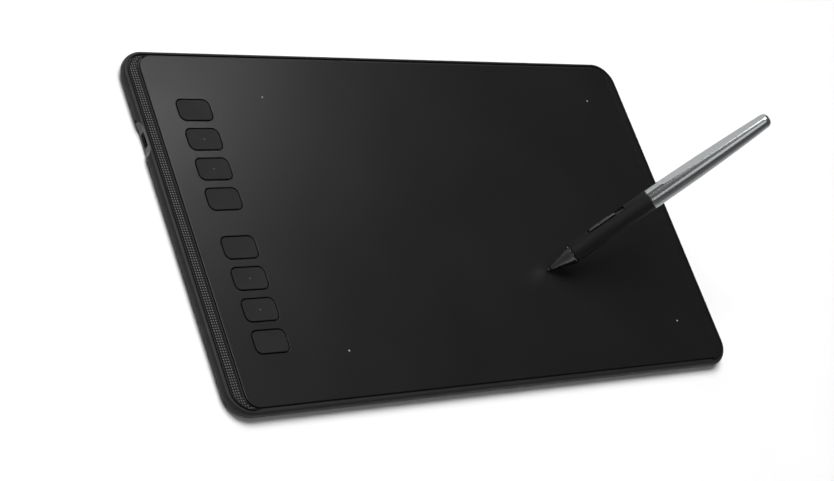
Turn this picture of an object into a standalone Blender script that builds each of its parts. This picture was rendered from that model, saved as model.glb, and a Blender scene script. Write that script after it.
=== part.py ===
"""Pen drawing tablet with eight express keys, lying flat, and its battery-free pen resting on it.

The origin is under the middle of the tablet, at the foot of its rubber feet. +X runs along the long
side, away from the express keys, +Y towards the top edge and +Z out of the drawing face.
The pen is modelled upright in its own frame, nib tip at the origin and side button towards +X, and
the empty pen_frame stands it on the drawing face at its writing slant.
"""

import math

import bmesh
import bpy
from mathutils import Matrix, Vector

MM = 0.001
GAP = 0.3 * MM

# Tablet, outside
LENGTH = 360.4 * MM
WIDTH = 210.5 * MM
CORNER_R = 14.5 * MM
FACE_Z = 8.0 * MM
CASE_BOTTOM_Z = 0.6 * MM
BULGE_Z = 4.5 * MM
RIM_TOP_Z = 7.7 * MM
RIM_ROUND = 2.1 * MM
UNDERSIDE_ROUND = 7.0 * MM

# Bottom cover, inside
FLOOR_Z = 1.7 * MM
LEDGE_Z = 5.9 * MM
WALL_INSET = 4.0 * MM
FLOOR_INSET = 5.0 * MM
FLOOR_COVE_Z = 2.6 * MM
RIB_TOP_Z = 4.5 * MM
RIB_THICK = 1.2 * MM
LONG_RIB_Y = (-60 * MM, 0.0, 60 * MM)
CROSS_RIB_X = (-110 * MM, -45 * MM, 20 * MM, 85 * MM, 150 * MM)
RIB_SPAN_X = (-116 * MM, 156 * MM)
RIB_SPAN_Y = (-82 * MM, 82 * MM)

# Fastenings and feet
SCREW_X = (-140 * MM, 0.0, 140 * MM)
SCREW_Y = 94 * MM
FOOT_LENGTH = 24 * MM
FOOT_WIDTH = 8 * MM
FOOT_TOP_Z = 0.75 * MM
FOOT_POCKET_Z = 1.0 * MM
SCREW_HEAD_R = 2.2 * MM
SCREW_HEAD_Z = (1.15 * MM, 1.75 * MM)
SCREW_SHANK_R = 1.0 * MM
SCREW_TOP_Z = 5.3 * MM
SCREW_SEAT_Z = 2.05 * MM
COVER_BOSS_R = 3.6 * MM
COVER_BOSS_Z = 2.8 * MM
FRAME_BOSS_R = 2.8 * MM
PILOT_TOP_Z = 5.6 * MM

# Inner frame
FRAME_Z = (6.2 * MM, 6.8 * MM)
FRAME_INSET = 2.5 * MM
OPENING_X = (-163 * MM, 160 * MM)
OPENING_Y = 89 * MM
OPENING_R = 4 * MM

# Drawing panel
PANEL_X = (-169.6 * MM, 172.4 * MM)
PANEL_Y = 101.6 * MM
PANEL_R = 7.5 * MM
PANEL_EDGE_Z = 7.1 * MM
PANEL_UNDER_Z = 6.5 * MM
PANEL_CHAMFER = 0.3 * MM

# Side inserts in the channels left and right of the panel
TRIM_Z = 7.1 * MM
TRIM_OUTER_X = 177.2 * MM
TRIM_OUTER_Y = 102.4 * MM
TRIM_OUTER_R = 11.5 * MM
TRIM_INNER_Y = 101.9 * MM
TRIM_INNER_R = 7.6 * MM
WOVEN_INNER_X = -170.4 * MM
PLAIN_INNER_X = 173.1 * MM
RIDGE_WIDTH = 0.8 * MM
RIDGE_Z = 7.8 * MM
WEAVE_Z = 7.45 * MM
PLAIN_Z = 7.6 * MM

# Express keys
KEY_X = -144.6 * MM
KEY_MID_Y = 0.8 * MM
KEY_FIRST_Y = 14.2 * MM
KEY_PITCH = 17.85 * MM
KEY_LENGTH = 20.6 * MM
KEY_WIDTH = 12.9 * MM
KEY_R = 3.7 * MM
KEY_GAP = 0.4 * MM
KEY_TOP_Z = 8.2 * MM
KEY_FLANGE = 0.9 * MM
KEY_FLANGE_Z = (5.5 * MM, 6.2 * MM)
KEY_STEM_R = 1.3 * MM
KEY_STEM_Z = 4.0 * MM
SWITCH_SIDE = 6 * MM
SWITCH_Z = (3.1 * MM, 4.3 * MM)
SWITCH_WELL_R = 1.7 * MM
SWITCH_WELL_Z = 3.3 * MM

# Boards
CONTROL_X = (-174.9 * MM, -128 * MM)
CONTROL_Y = 86 * MM
CONTROL_Z = (2.0 * MM, 2.8 * MM)
DIGITIZER_X = (-122 * MM, 159 * MM)
DIGITIZER_Y = 88 * MM
DIGITIZER_Z = (5.4 * MM, 6.2 * MM)
SHIELD_X = (-110 * MM, 155 * MM)
SHIELD_Y = 85 * MM
SHIELD_Z = (4.8 * MM, 5.1 * MM)
CABLE_Y = 28 * MM
CABLE_WIDTH = 16 * MM
CABLE_THICK = 0.3 * MM
CONNECTOR_X = (-136 * MM, -131 * MM)
CONNECTOR_TOP_Z = 4.3 * MM
CHIP_X = -163 * MM
CHIP_THICK = 0.9 * MM

# USB inlet and reset hole in the left side
USB_Y = 52.3 * MM
USB_Z = 4.25 * MM
RECESS_X = -178.6 * MM
RECESS_HALF = 9.9 * MM
RECESS_SLOPE = 3.2 * MM
SLOT_WIDTH = 8.1 * MM
SLOT_HEIGHT = 2.9 * MM
SOCKET_WIDTH = 7.5 * MM
SOCKET_HEIGHT = 2.4 * MM
SOCKET_DEPTH = 5.6 * MM
SOCKET_WALL = 0.3 * MM
SOCKET_X = -178.1 * MM
SOCKET_BACK = 0.8 * MM
TONGUE_HALF = 2.2 * MM
TONGUE_Z = (-0.35 * MM, 0.3 * MM)
RESET_Y = 63.7 * MM
RESET_Z = 4.1 * MM
RESET_HOLE_R = 0.8 * MM
PLUNGER_R = 0.45 * MM
PLUNGER_LENGTH = 2.3 * MM
RESET_SWITCH_HALF = 2.0 * MM
RESET_SWITCH_DEPTH = 2.5 * MM

# Pen, measured along its axis from the nib tip
NIB_POINT = (59.1 * MM, -37.8 * MM)
NIB_LIFT = 0.24 * MM
PEN_POLAR = math.radians(45.1)
PEN_HEADING = math.radians(19.84)
PEN_ROLL = math.radians(119.2)
PEN_LENGTH = 155.5 * MM
PEN_STEPS = 28
NIB_R = 0.85 * MM
NIB_TIP_R = 0.55 * MM
NIB_Z = (1.6 * MM, 14.0 * MM)
HOLDER_R = 1.8 * MM
HOLDER_Z = (11.0 * MM, 30.5 * MM)
CONE_Z = (2.4 * MM, 17.6 * MM)
CONE_R = (1.5 * MM, 6.3 * MM)
NECK_END_Z = 22.5 * MM
CONE_BORE = ((4.4 * MM, NECK_END_Z), (4.4 * MM, 17.0 * MM), (3.4 * MM, 11.0 * MM), (2.2 * MM, 10.2 * MM))
CORE_R = (2.15 * MM, 3.0 * MM)
CORE_Z = (12.0 * MM, 28.0 * MM)
COIL_R = (3.3 * MM, 4.1 * MM)
COIL_Z = (18.5 * MM, 27.0 * MM)
SENSOR_R = 3.4 * MM
SENSOR_Z = (31.4 * MM, 33.4 * MM)
PEN_BOARD_HALF = (0.4 * MM, 3.2 * MM)
PEN_BOARD_Z = (33.9 * MM, 98 * MM)
PEN_SWITCH_Z = {"pen_switch_front": 36.5 * MM, "pen_switch_rear": 46.5 * MM}
PEN_SWITCH_HALF = 1.6 * MM
PEN_SWITCH_X = (0.7 * MM, 2.1 * MM)
GRIP_Z = (17.9 * MM, 71.7 * MM)
GRIP_R = 6.1 * MM
GRIP_BORE_R = 5.3 * MM
BARREL_Z = 72.0 * MM
BARREL_R = 6.15 * MM
SLOT_Z = (32.0 * MM, 57.0 * MM)
SLOT_HALF = 2.5 * MM
SLOT_R = 0.7 * MM
SLOT_DEPTH_X = (3 * MM, 9 * MM)
ROCKER_PIVOT = (4.2 * MM, 41.5 * MM)
ROCKER_HALF = 2.0 * MM
PIVOT_R = (0.5 * MM, 0.8 * MM)
PIVOT_HALF = 2.2 * MM
FACET_Z = 81 * MM
FACET_FRONT = 5.05 * MM
FACET_TAIL = 3.0 * MM

# Side view of the rocker in millimetres, (distance from the axis, height): over its top, then back.
ROCKER_TOP = (
    (5.0, 32.4),
    (5.9, 33.2),
    (6.3, 36.0),
    (6.3, 39.2),
    (6.05, 39.8),
    (6.3, 40.4),
    (6.25, 45.0),
    (6.0, 49.5),
    (5.3, 52.5),
    (4.7, 56.6),
)
ROCKER_UNDERSIDE = (
    (3.9, 56.6),
    (3.7, 48.3),
    (2.6, 47.6),
    (2.6, 45.4),
    (2.9, 44.0),
    (2.9, 39.0),
    (2.6, 37.6),
    (2.6, 35.4),
    (3.7, 34.7),
    (4.2, 32.4),
)

# Radius and height along the barrel in millimetres: its blind bore, then its outside past the collar.
BARREL_BORE = ((0, 150), (2.4, 149), (3.6, 112), (4.0, 84), (4.0, 65))
BARREL_TAIL = (
    (6.05, 103),
    (5.85, 115),
    (5.5, 126),
    (5.1, 137),
    (4.7, 147),
    (4.4, 151.5),
    (3.8, 154.0),
    (2.6, 155.2),
)

# The flat cable's way from its connector down under the digitizer board, (x, z) in millimetres.
CABLE_ROUTE = (
    (-130.7, 3.7),
    (-129, 3.7),
    (-127, 3.85),
    (-124, 4.45),
    (-122, 4.75),
    (-120, 4.95),
    (-112, 4.95),
)

COLOURS = {
    "case": ((0.055, 0.056, 0.058), 0.45, 0.0),
    "panel": ((0.045, 0.046, 0.048), 0.6, 0.0),
    "strip": ((0.10, 0.10, 0.105), 0.7, 0.0),
    "key": ((0.035, 0.036, 0.038), 0.5, 0.0),
    "rubber": ((0.02, 0.02, 0.02), 0.9, 0.0),
    "steel": ((0.6, 0.6, 0.6), 0.35, 1.0),
    "board": ((0.02, 0.12, 0.05), 0.5, 0.0),
    "chip": ((0.02, 0.02, 0.02), 0.4, 0.0),
    "film": ((0.55, 0.45, 0.25), 0.5, 0.0),
    "metallic": ((0.30, 0.32, 0.32), 0.3, 0.9),
    "grip": ((0.015, 0.015, 0.015), 0.7, 0.0),
    "cone": ((0.05, 0.05, 0.05), 0.2, 0.3),
    "copper": ((0.7, 0.3, 0.15), 0.35, 1.0),
    "ferrite": ((0.08, 0.08, 0.085), 0.7, 0.0),
    "nib": ((0.05, 0.05, 0.05), 0.5, 0.0),
}


def clear_scene():
    """Remove every object that the scene starts with."""
    for obj in list(bpy.data.objects):
        bpy.data.objects.remove(obj, do_unlink=True)


def material(name, piece):
    """A Principled material of this finish, one for each piece."""
    colour, roughness, metallic = COLOURS[name]
    made = bpy.data.materials.new(f"{piece}_{name}")
    made.use_nodes = True
    shader = made.node_tree.nodes["Principled BSDF"]
    shader.inputs["Base Color"].default_value = (*colour, 1.0)
    shader.inputs["Roughness"].default_value = roughness
    shader.inputs["Metallic"].default_value = metallic
    made.diffuse_color = (*colour, 1.0)
    return made


def add_mesh(name, points, faces, finish, parent=None, location=(0, 0, 0)):
    """An object from points and faces, its faces turned outwards."""
    mesh = bpy.data.meshes.new(name)
    mesh.from_pydata([tuple(p) for p in points], [], faces)
    shape = bmesh.new()
    shape.from_mesh(mesh)
    bmesh.ops.recalc_face_normals(shape, faces=shape.faces)
    shape.to_mesh(mesh)
    shape.free()
    mesh.shade_smooth()
    mesh.set_sharp_from_angle(angle=math.radians(35))
    obj = bpy.data.objects.new(name, mesh)
    obj.location = location
    obj.parent = parent
    bpy.context.scene.collection.objects.link(obj)
    if finish:
        mesh.materials.append(material(finish, name))
    return obj


def add_empty(name, matrix, parent=None):
    """An empty that stands for a pivot or a moving frame."""
    obj = bpy.data.objects.new(name, None)
    obj.empty_display_size = 0.01
    obj.parent = parent
    obj.matrix_basis = matrix
    bpy.context.scene.collection.objects.link(obj)
    return obj


def loft_data(rings, closed=False):
    """Points and faces of a skin over rings of equal count, capped at both ends unless closed."""
    count = len(rings[0])
    points = [p for ring in rings for p in ring]
    spans = len(rings) if closed else len(rings) - 1
    faces = []
    for i in range(spans):
        low = i * count
        high = (i + 1) % len(rings) * count
        for j in range(count):
            k = (j + 1) % count
            faces.append((low + j, low + k, high + k, high + j))
    if not closed:
        faces.append(tuple(range(count)))
        faces.append(tuple(range(len(points) - count, len(points))))
    return points, faces


def loft(name, rings, finish, closed=False, **where):
    """One closed body over the rings."""
    return add_mesh(name, *loft_data(rings, closed), finish, **where)


def many(name, bodies):
    """A hidden helper that holds several separate closed bodies, for one Boolean."""
    points = []
    faces = []
    for rings in bodies:
        some, skin = loft_data(rings)
        faces += [tuple(len(points) + i for i in face) for face in skin]
        points += some
    return add_mesh(name, points, faces, None)


def arc(centre, radius, start, end, steps):
    """Points of an arc from one angle to another, in degrees."""
    angles = [math.radians(start + (end - start) * i / steps) for i in range(steps + 1)]
    return [(centre[0] + radius * math.cos(a), centre[1] + radius * math.sin(a)) for a in angles]


def rounded(x_span, y_span, radius, steps=4):
    """Outline of a rectangle with round corners, anticlockwise from its lower right corner."""
    (x0, x1), (y0, y1) = x_span, y_span
    outline = []
    for start, x, y in (
        (270, x1 - radius, y0 + radius),
        (0, x1 - radius, y1 - radius),
        (90, x0 + radius, y1 - radius),
        (180, x0 + radius, y0 + radius),
    ):
        outline += arc((x, y), radius, start, start + 90, steps)
    return outline


def at(outline, z):
    """The outline at a height."""
    return [Vector((x, y, z)) for x, y in outline]


def circle_like(outline, centre, radius):
    """A circle with as many points as the outline, each in its point's direction."""
    count = len(outline)
    start = math.atan2(outline[0][1] - centre[1], outline[0][0] - centre[0])
    turns = [start + 2 * math.pi * i / count for i in range(count)]
    return [(centre[0] + radius * math.cos(a), centre[1] + radius * math.sin(a)) for a in turns]


def case_outline(inset, steps=7):
    """The tablet's outline, drawn in by an inset."""
    half_x = LENGTH / 2 - inset
    half_y = WIDTH / 2 - inset
    return rounded((-half_x, half_x), (-half_y, half_y), CORNER_R - inset, steps)


def box_rings(x_span, y_span, z_span):
    """A plain box as two rings."""
    (x0, x1), (y0, y1) = x_span, y_span
    outline = [(x0, y0), (x1, y0), (x1, y1), (x0, y1)]
    return [at(outline, z_span[0]), at(outline, z_span[1])]


def cylinder_rings(centre, radius, z_span, count=20):
    """A plain cylinder as two rings."""
    turns = [2 * math.pi * i / count for i in range(count)]
    outline = [(centre[0] + radius * math.cos(a), centre[1] + radius * math.sin(a)) for a in turns]
    return [at(outline, z_span[0]), at(outline, z_span[1])]


def combine(target, helper, operation):
    """Add a helper to a piece or cut it out, and hide the helper."""
    helper.hide_render = True
    helper.display_type = "WIRE"
    modifier = target.modifiers.new(helper.name, "BOOLEAN")
    modifier.operation = operation
    modifier.object = helper
    modifier.solver = "EXACT"


def revolve(name, profile, finish, closed=False, steps=PEN_STEPS, **where):
    """A turned body: the profile of (radius, height) points carried round the z axis.

    A closed profile makes a ring. An open one starts and ends on the axis.
    """
    points = []
    rows = []
    for radius, z in profile:
        if radius == 0:
            rows.append([len(points)] * steps)
            points.append(Vector((0, 0, z)))
            continue
        rows.append(list(range(len(points), len(points) + steps)))
        turns = [2 * math.pi * i / steps for i in range(steps)]
        points += [Vector((radius * math.cos(a), radius * math.sin(a), z)) for a in turns]
    faces = []
    for i in range(len(rows) if closed else len(rows) - 1):
        low = rows[i]
        high = rows[(i + 1) % len(rows)]
        for j in range(steps):
            k = (j + 1) % steps
            corners = dict.fromkeys((low[j], low[k], high[k], high[j]))
            if len(corners) > 2:
                faces.append(tuple(corners))
    return add_mesh(name, points, faces, finish, **where)


def screw_places():
    """Centres of the six screws, each with its foot over it."""
    return [(x, side * SCREW_Y) for side in (1, -1) for x in SCREW_X]


def cover_profile():
    """Inset and height along the bottom cover's skin, from its underside round the rim to its floor."""
    profile = []
    for degree in (90, 72, 54, 36, 18, 0):
        turn = math.radians(degree)
        depth = BULGE_Z - CASE_BOTTOM_Z
        profile.append((UNDERSIDE_ROUND * (1 - math.cos(turn)), BULGE_Z - depth * math.sin(turn)))
    for degree in (25, 50, 72, 90):
        turn = math.radians(degree)
        rise = RIM_TOP_Z - BULGE_Z
        profile.append((RIM_ROUND * (1 - math.cos(turn)), BULGE_Z + rise * math.sin(turn)))
    profile.append((RIM_ROUND, LEDGE_Z))
    profile.append((WALL_INSET, LEDGE_Z))
    profile.append((WALL_INSET, FLOOR_COVE_Z))
    profile.append((FLOOR_INSET, FLOOR_Z))
    return profile


def foot_outline(centre, grow=0.0):
    """Outline of one foot, or of its pocket when grown."""
    half_x = FOOT_LENGTH / 2 + grow
    half_y = FOOT_WIDTH / 2 + grow
    x, y = centre
    return rounded((x - half_x, x + half_x), (y - half_y, y + half_y), half_y - 0.2 * MM, 4)


def screw_hole_rings(centre):
    """Foot pocket, head recess and clearance hole, as one stepped cutter."""
    pocket = foot_outline(centre, GAP)
    recess = circle_like(pocket, centre, SCREW_HEAD_R + 0.4 * MM)
    clearance = circle_like(pocket, centre, SCREW_SHANK_R + GAP)
    return [
        at(pocket, -1 * MM),
        at(pocket, FOOT_POCKET_Z),
        at(recess, FOOT_POCKET_Z),
        at(recess, SCREW_SEAT_Z),
        at(clearance, SCREW_SEAT_Z),
        at(clearance, COVER_BOSS_Z + 1 * MM),
    ]


def recess_rings():
    """The flat scoop round the USB inlet, with slanted ends."""
    outer_x = -LENGTH / 2 - 1 * MM
    run = RECESS_SLOPE * (RECESS_X - outer_x) / (RECESS_X + LENGTH / 2)
    inner = RECESS_HALF - RECESS_SLOPE
    outline = [
        (RECESS_X, USB_Y - inner),
        (RECESS_X, USB_Y + inner),
        (outer_x, USB_Y + inner + run),
        (outer_x, USB_Y - inner - run),
    ]
    return [at(outline[::-1], -1 * MM), at(outline[::-1], FACE_Z + 1 * MM)]


def sideways(rings):
    """Rings drawn in (y, z) and stacked along x."""
    return [[Vector((p.z, p.x, p.y)) for p in ring] for ring in rings]


def slot_rings():
    """The hole for the USB socket and the pin hole for reset, both through the left wall."""
    y_span = (USB_Y - SLOT_WIDTH / 2, USB_Y + SLOT_WIDTH / 2)
    z_span = (USB_Z - SLOT_HEIGHT / 2, USB_Z + SLOT_HEIGHT / 2)
    slot = rounded(y_span, z_span, 0.9 * MM, 3)
    start = -LENGTH / 2 - 1 * MM
    end = -LENGTH / 2 + WALL_INSET + 0.6 * MM
    pin = cylinder_rings((RESET_Y, RESET_Z), RESET_HOLE_R, (start, end), 12)
    return [sideways([at(slot, start), at(slot, end)]), sideways(pin)]


def make_bottom_cover():
    """The tray-shaped shell: rounded sides, floor, ribs, bosses and the openings in its left wall."""
    rings = [at(case_outline(inset), z) for inset, z in cover_profile()]
    cover = loft("bottom_cover", rings, "case")
    foot = FLOOR_Z - 0.3 * MM
    bosses = [cylinder_rings(c, COVER_BOSS_R, (foot, COVER_BOSS_Z)) for c in screw_places()]
    combine(cover, many("cover_bosses", bosses), "UNION")
    half = RIB_THICK / 2
    cross = [box_rings((x - half, x + half), RIB_SPAN_Y, (foot, RIB_TOP_Z)) for x in CROSS_RIB_X]
    combine(cover, many("cross_ribs", cross), "UNION")
    top = RIB_TOP_Z - 0.2 * MM
    long = [box_rings(RIB_SPAN_X, (y - half, y + half), (foot, top)) for y in LONG_RIB_Y]
    combine(cover, many("long_ribs", long), "UNION")
    combine(cover, many("screw_holes", [screw_hole_rings(c) for c in screw_places()]), "DIFFERENCE")
    combine(cover, many("usb_recess", [recess_rings()]), "DIFFERENCE")
    combine(cover, many("side_openings", slot_rings()), "DIFFERENCE")


def make_feet_and_screws():
    """Six rubber feet and the six screws that they hide."""
    for number, centre in enumerate(screw_places(), 1):
        outline = foot_outline((0, 0))
        edge = foot_outline((0, 0), -0.3 * MM)
        rings = [at(edge, 0), at(outline, 0.25 * MM), at(outline, FOOT_TOP_Z)]
        loft(f"rubber_foot_{number}", rings, "rubber", location=(*centre, 0))
        low, high = SCREW_HEAD_Z
        profile = [
            (0, low),
            (SCREW_HEAD_R, low),
            (SCREW_HEAD_R, high),
            (SCREW_SHANK_R, high),
            (SCREW_SHANK_R, SCREW_TOP_Z - 0.6 * MM),
            (0, SCREW_TOP_Z),
        ]
        revolve(f"cover_screw_{number}", profile, "steel", steps=12, location=(*centre, 0))


def make_inner_frame():
    """The ring that carries the panel's edge, with a threaded boss over each screw."""
    outer = case_outline(FRAME_INSET)
    opening = rounded(OPENING_X, (-OPENING_Y, OPENING_Y), OPENING_R, 7)
    low, high = FRAME_Z
    rings = [at(outer, low), at(outer, high), at(opening, high), at(opening, low)]
    frame = loft("inner_frame", rings, "case", closed=True)
    foot = COVER_BOSS_Z + GAP
    bosses = [cylinder_rings(c, FRAME_BOSS_R, (foot, low + 0.2 * MM), 16) for c in screw_places()]
    combine(frame, many("frame_bosses", bosses), "UNION")
    radius = SCREW_SHANK_R + GAP
    holes = [cylinder_rings(c, radius, (foot - 1 * MM, PILOT_TOP_Z), 12) for c in screw_places()]
    combine(frame, many("pilot_holes", holes), "DIFFERENCE")


def key_centres():
    """Centre heights of the eight keys, from the top edge down, in two groups of four."""
    steps = [KEY_FIRST_Y + KEY_PITCH * i for i in range(4)]
    return [KEY_MID_Y + s for s in reversed(steps)] + [KEY_MID_Y - s for s in steps]


def key_outline(grow=0.0, centre=(0.0, 0.0)):
    """Outline of a key cap, or of its window when grown."""
    half_x = KEY_LENGTH / 2 + grow
    half_y = KEY_WIDTH / 2 + grow
    x, y = centre
    return rounded((x - half_x, x + half_x), (y - half_y, y + half_y), KEY_R + grow, 4)


def make_drawing_panel():
    """The drawing face with its eight key windows."""
    edge = rounded(PANEL_X, (-PANEL_Y, PANEL_Y), PANEL_R, 6)
    x_span = (PANEL_X[0] + PANEL_CHAMFER, PANEL_X[1] - PANEL_CHAMFER)
    half_y = PANEL_Y - PANEL_CHAMFER
    face = rounded(x_span, (-half_y, half_y), PANEL_R - PANEL_CHAMFER, 6)
    inner_x = (OPENING_X[0] + 0.4 * MM, OPENING_X[1] - 0.4 * MM)
    inner_y = OPENING_Y - 0.4 * MM
    step = rounded(inner_x, (-inner_y, inner_y), OPENING_R - 0.4 * MM, 6)
    rings = [
        at(step, PANEL_UNDER_Z),
        at(step, PANEL_EDGE_Z),
        at(edge, PANEL_EDGE_Z),
        at(edge, FACE_Z - PANEL_CHAMFER),
        at(face, FACE_Z),
    ]
    panel = loft("drawing_panel", rings, "panel")
    windows = []
    for y in key_centres():
        outline = key_outline(KEY_GAP, (KEY_X, y))
        windows.append([at(outline, PANEL_UNDER_Z - 1 * MM), at(outline, FACE_Z + 1 * MM)])
    combine(panel, many("key_windows", windows), "DIFFERENCE")


def crescent(side, inner_x):
    """Pairs of outer and inner edge points of a side insert, from its top tip round to its bottom tip."""
    outer_x = TRIM_OUTER_X - TRIM_OUTER_R
    inner_mid = abs(inner_x) - TRIM_INNER_R
    pairs = []
    for turn in (1, -1):
        quarter = range(9) if turn == 1 else range(8, -1, -1)
        for i in quarter:
            angle = math.radians(90 - 90 * i / 8)
            reach = math.cos(angle)
            rise = math.sin(angle)
            outer_y = TRIM_OUTER_Y - TRIM_OUTER_R + TRIM_OUTER_R * rise
            inner_y = TRIM_INNER_Y - TRIM_INNER_R + TRIM_INNER_R * rise
            outer = Vector((side * (outer_x + TRIM_OUTER_R * reach), turn * outer_y))
            inner = Vector((side * (inner_mid + TRIM_INNER_R * reach), turn * inner_y))
            pairs.append((outer, inner))
    return pairs


def strip_section(outer, inner, ridge_z, middle_z):
    """Cross-section of a side insert: two raised edges and a lower band between them."""
    across = inner - outer
    share = min(RIDGE_WIDTH / across.length, 0.3)
    section = []
    for part, z in (
        (0.0, TRIM_Z),
        (0.0, ridge_z),
        (share, ridge_z),
        (share + 0.02, middle_z),
        (0.98 - share, middle_z),
        (1 - share, ridge_z),
        (1.0, ridge_z),
        (1.0, TRIM_Z),
    ):
        spot = outer + across * part
        section.append(Vector((spot.x, spot.y, z)))
    return section


def make_side_inserts():
    """The woven strip beside the keys and the plain one at the other end."""
    woven = [strip_section(a, b, RIDGE_Z, WEAVE_Z) for a, b in crescent(-1, WOVEN_INNER_X)]
    loft("woven_strip", woven, "strip")
    plain = []
    for outer, inner in crescent(1, PLAIN_INNER_X):
        corners = ((outer, TRIM_Z), (outer, PLAIN_Z), (inner, PLAIN_Z), (inner, TRIM_Z))
        plain.append([Vector((p.x, p.y, z)) for p, z in corners])
    loft("plain_side_strip", plain, "case")


def make_keys():
    """Eight express keys, each a cap with a retaining flange and a stem into its switch."""
    low, high = KEY_FLANGE_Z
    outline = key_outline()
    flange = key_outline(KEY_FLANGE)
    stem = circle_like(outline, (0, 0), KEY_STEM_R)
    rings = [
        at(stem, KEY_STEM_Z),
        at(stem, low),
        at(flange, low),
        at(flange, high),
        at(outline, high),
        at(outline, KEY_TOP_Z - 0.3 * MM),
        at(key_outline(-0.3 * MM), KEY_TOP_Z),
    ]
    well = cylinder_rings((0, 0), SWITCH_WELL_R, (SWITCH_WELL_Z, SWITCH_Z[1]), 16)
    side = rounded((-SWITCH_SIDE / 2, SWITCH_SIDE / 2), (-SWITCH_SIDE / 2, SWITCH_SIDE / 2), 0.6 * MM, 3)
    rim = circle_like(side, (0, 0), SWITCH_WELL_R)
    can = [at(side, SWITCH_Z[0]), at(side, SWITCH_Z[1]), at(rim, SWITCH_Z[1]), at(rim, well[0][0].z)]
    for number, y in enumerate(key_centres(), 1):
        loft(f"express_key_{number}", rings, "key", location=(KEY_X, y, 0))
        loft(f"key_switch_{number}", can, "chip", location=(KEY_X, y, 0))


def make_boards():
    """Control board, digitizer board, its shield, two chips and the flat cable between the boards."""
    loft("control_board", box_rings(CONTROL_X, (-CONTROL_Y, CONTROL_Y), CONTROL_Z), "board")
    loft("digitizer_board", box_rings(DIGITIZER_X, (-DIGITIZER_Y, DIGITIZER_Y), DIGITIZER_Z), "board")
    loft("shield_sheet", box_rings(SHIELD_X, (-SHIELD_Y, SHIELD_Y), SHIELD_Z), "steel")
    chip_z = (CONTROL_Z[1] + GAP, CONTROL_Z[1] + GAP + CHIP_THICK)
    for name, y, half_x, half_y in (
        ("controller_chip", 22 * MM, 3.5 * MM, 3.5 * MM),
        ("sensor_chip", -22 * MM, 3.0 * MM, 5.0 * MM),
    ):
        rings = box_rings((CHIP_X - half_x, CHIP_X + half_x), (y - half_y, y + half_y), chip_z)
        loft(name, rings, "chip")
    half = CABLE_WIDTH / 2
    y_span = (CABLE_Y - half - 1 * MM, CABLE_Y + half + 1 * MM)
    loft("cable_connector", box_rings(CONNECTOR_X, y_span, (chip_z[0], CONNECTOR_TOP_Z)), "nib")
    thick = CABLE_THICK / 2
    corners = ((-half, -thick), (half, -thick), (half, thick), (-half, thick))
    sections = []
    for x, z in CABLE_ROUTE:
        sections.append([Vector((x * MM, CABLE_Y + dy, z * MM + dz)) for dy, dz in corners])
    loft("flat_cable", sections, "film")


def make_usb_socket():
    """The micro-size USB inlet: a steel shell open to the left, with a plastic tongue inside."""
    half_y = SOCKET_WIDTH / 2
    half_z = SOCKET_HEIGHT / 2

    def outline(shrink):
        y_span = (USB_Y - half_y + shrink, USB_Y + half_y - shrink)
        z_span = (USB_Z - half_z + shrink, USB_Z + half_z - shrink)
        return rounded(y_span, z_span, 0.7 * MM - shrink, 3)

    rear = SOCKET_X + SOCKET_DEPTH
    outer = outline(0.0)
    inner = outline(SOCKET_WALL)
    back = rear - SOCKET_BACK
    rings = sideways([at(outer, rear), at(outer, SOCKET_X), at(inner, SOCKET_X), at(inner, back)])
    loft("usb_socket", rings, "steel")
    x_span = (SOCKET_X + SOCKET_BACK, back - 0.1 * MM)
    y_span = (USB_Y - TONGUE_HALF, USB_Y + TONGUE_HALF)
    z_span = (USB_Z + TONGUE_Z[0], USB_Z + TONGUE_Z[1])
    loft("usb_tongue", box_rings(x_span, y_span, z_span), "chip")


def make_reset_button():
    """A side-pushed switch behind the pin hole and its small plunger."""
    wall_x = -LENGTH / 2 + WALL_INSET
    face_x = wall_x + PLUNGER_LENGTH
    y_span = (RESET_Y - RESET_SWITCH_HALF, RESET_Y + RESET_SWITCH_HALF)
    z_span = (CONTROL_Z[1] + GAP, RESET_Z + 0.9 * MM)
    outer = rounded(y_span, z_span, 0.3 * MM, 3)
    well = circle_like(outer, (RESET_Y, RESET_Z), 0.75 * MM)
    rings = [
        at(outer, face_x + RESET_SWITCH_DEPTH),
        at(outer, face_x),
        at(well, face_x),
        at(well, face_x + 1 * MM),
    ]
    loft("reset_switch", sideways(rings), "chip")
    plunger = [(0, 0), (PLUNGER_R, 0), (PLUNGER_R, PLUNGER_LENGTH), (0, PLUNGER_LENGTH)]
    button = revolve("reset_plunger", plunger, "key", steps=10)
    button.location = (wall_x + 0.5 * MM, RESET_Y, RESET_Z)
    button.rotation_euler = (0, math.pi / 2, 0)


def pen_matrix():
    """The pen's own frame: nib tip just over the drawing face, leaning along its heading."""
    tip = Vector((*NIB_POINT, FACE_Z + NIB_LIFT))
    turn = Matrix.Rotation(PEN_HEADING, 4, "Z") @ Matrix.Rotation(PEN_POLAR, 4, "Y")
    return Matrix.Translation(tip) @ turn @ Matrix.Rotation(PEN_ROLL, 4, "Z")


def make_nib(parent):
    """The replaceable nib and the holder that carries it back to the pressure sensor."""
    shoulder, end = NIB_Z
    profile = [(0, 0)]
    for degree in (30, 60):
        turn = math.radians(degree)
        profile.append((NIB_TIP_R * math.sin(turn), NIB_TIP_R * (1 - math.cos(turn))))
    profile += [(NIB_R, shoulder), (NIB_R, end), (0, end)]
    revolve("pen_nib", profile, "nib", steps=16, parent=parent)
    bore = NIB_R + GAP
    front, back = HOLDER_Z
    holder = [
        (0, end + GAP),
        (bore, end + GAP),
        (bore, front),
        (HOLDER_R, front),
        (HOLDER_R, back),
        (0, back),
    ]
    revolve("nib_holder", holder, "steel", steps=16, parent=parent)


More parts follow.
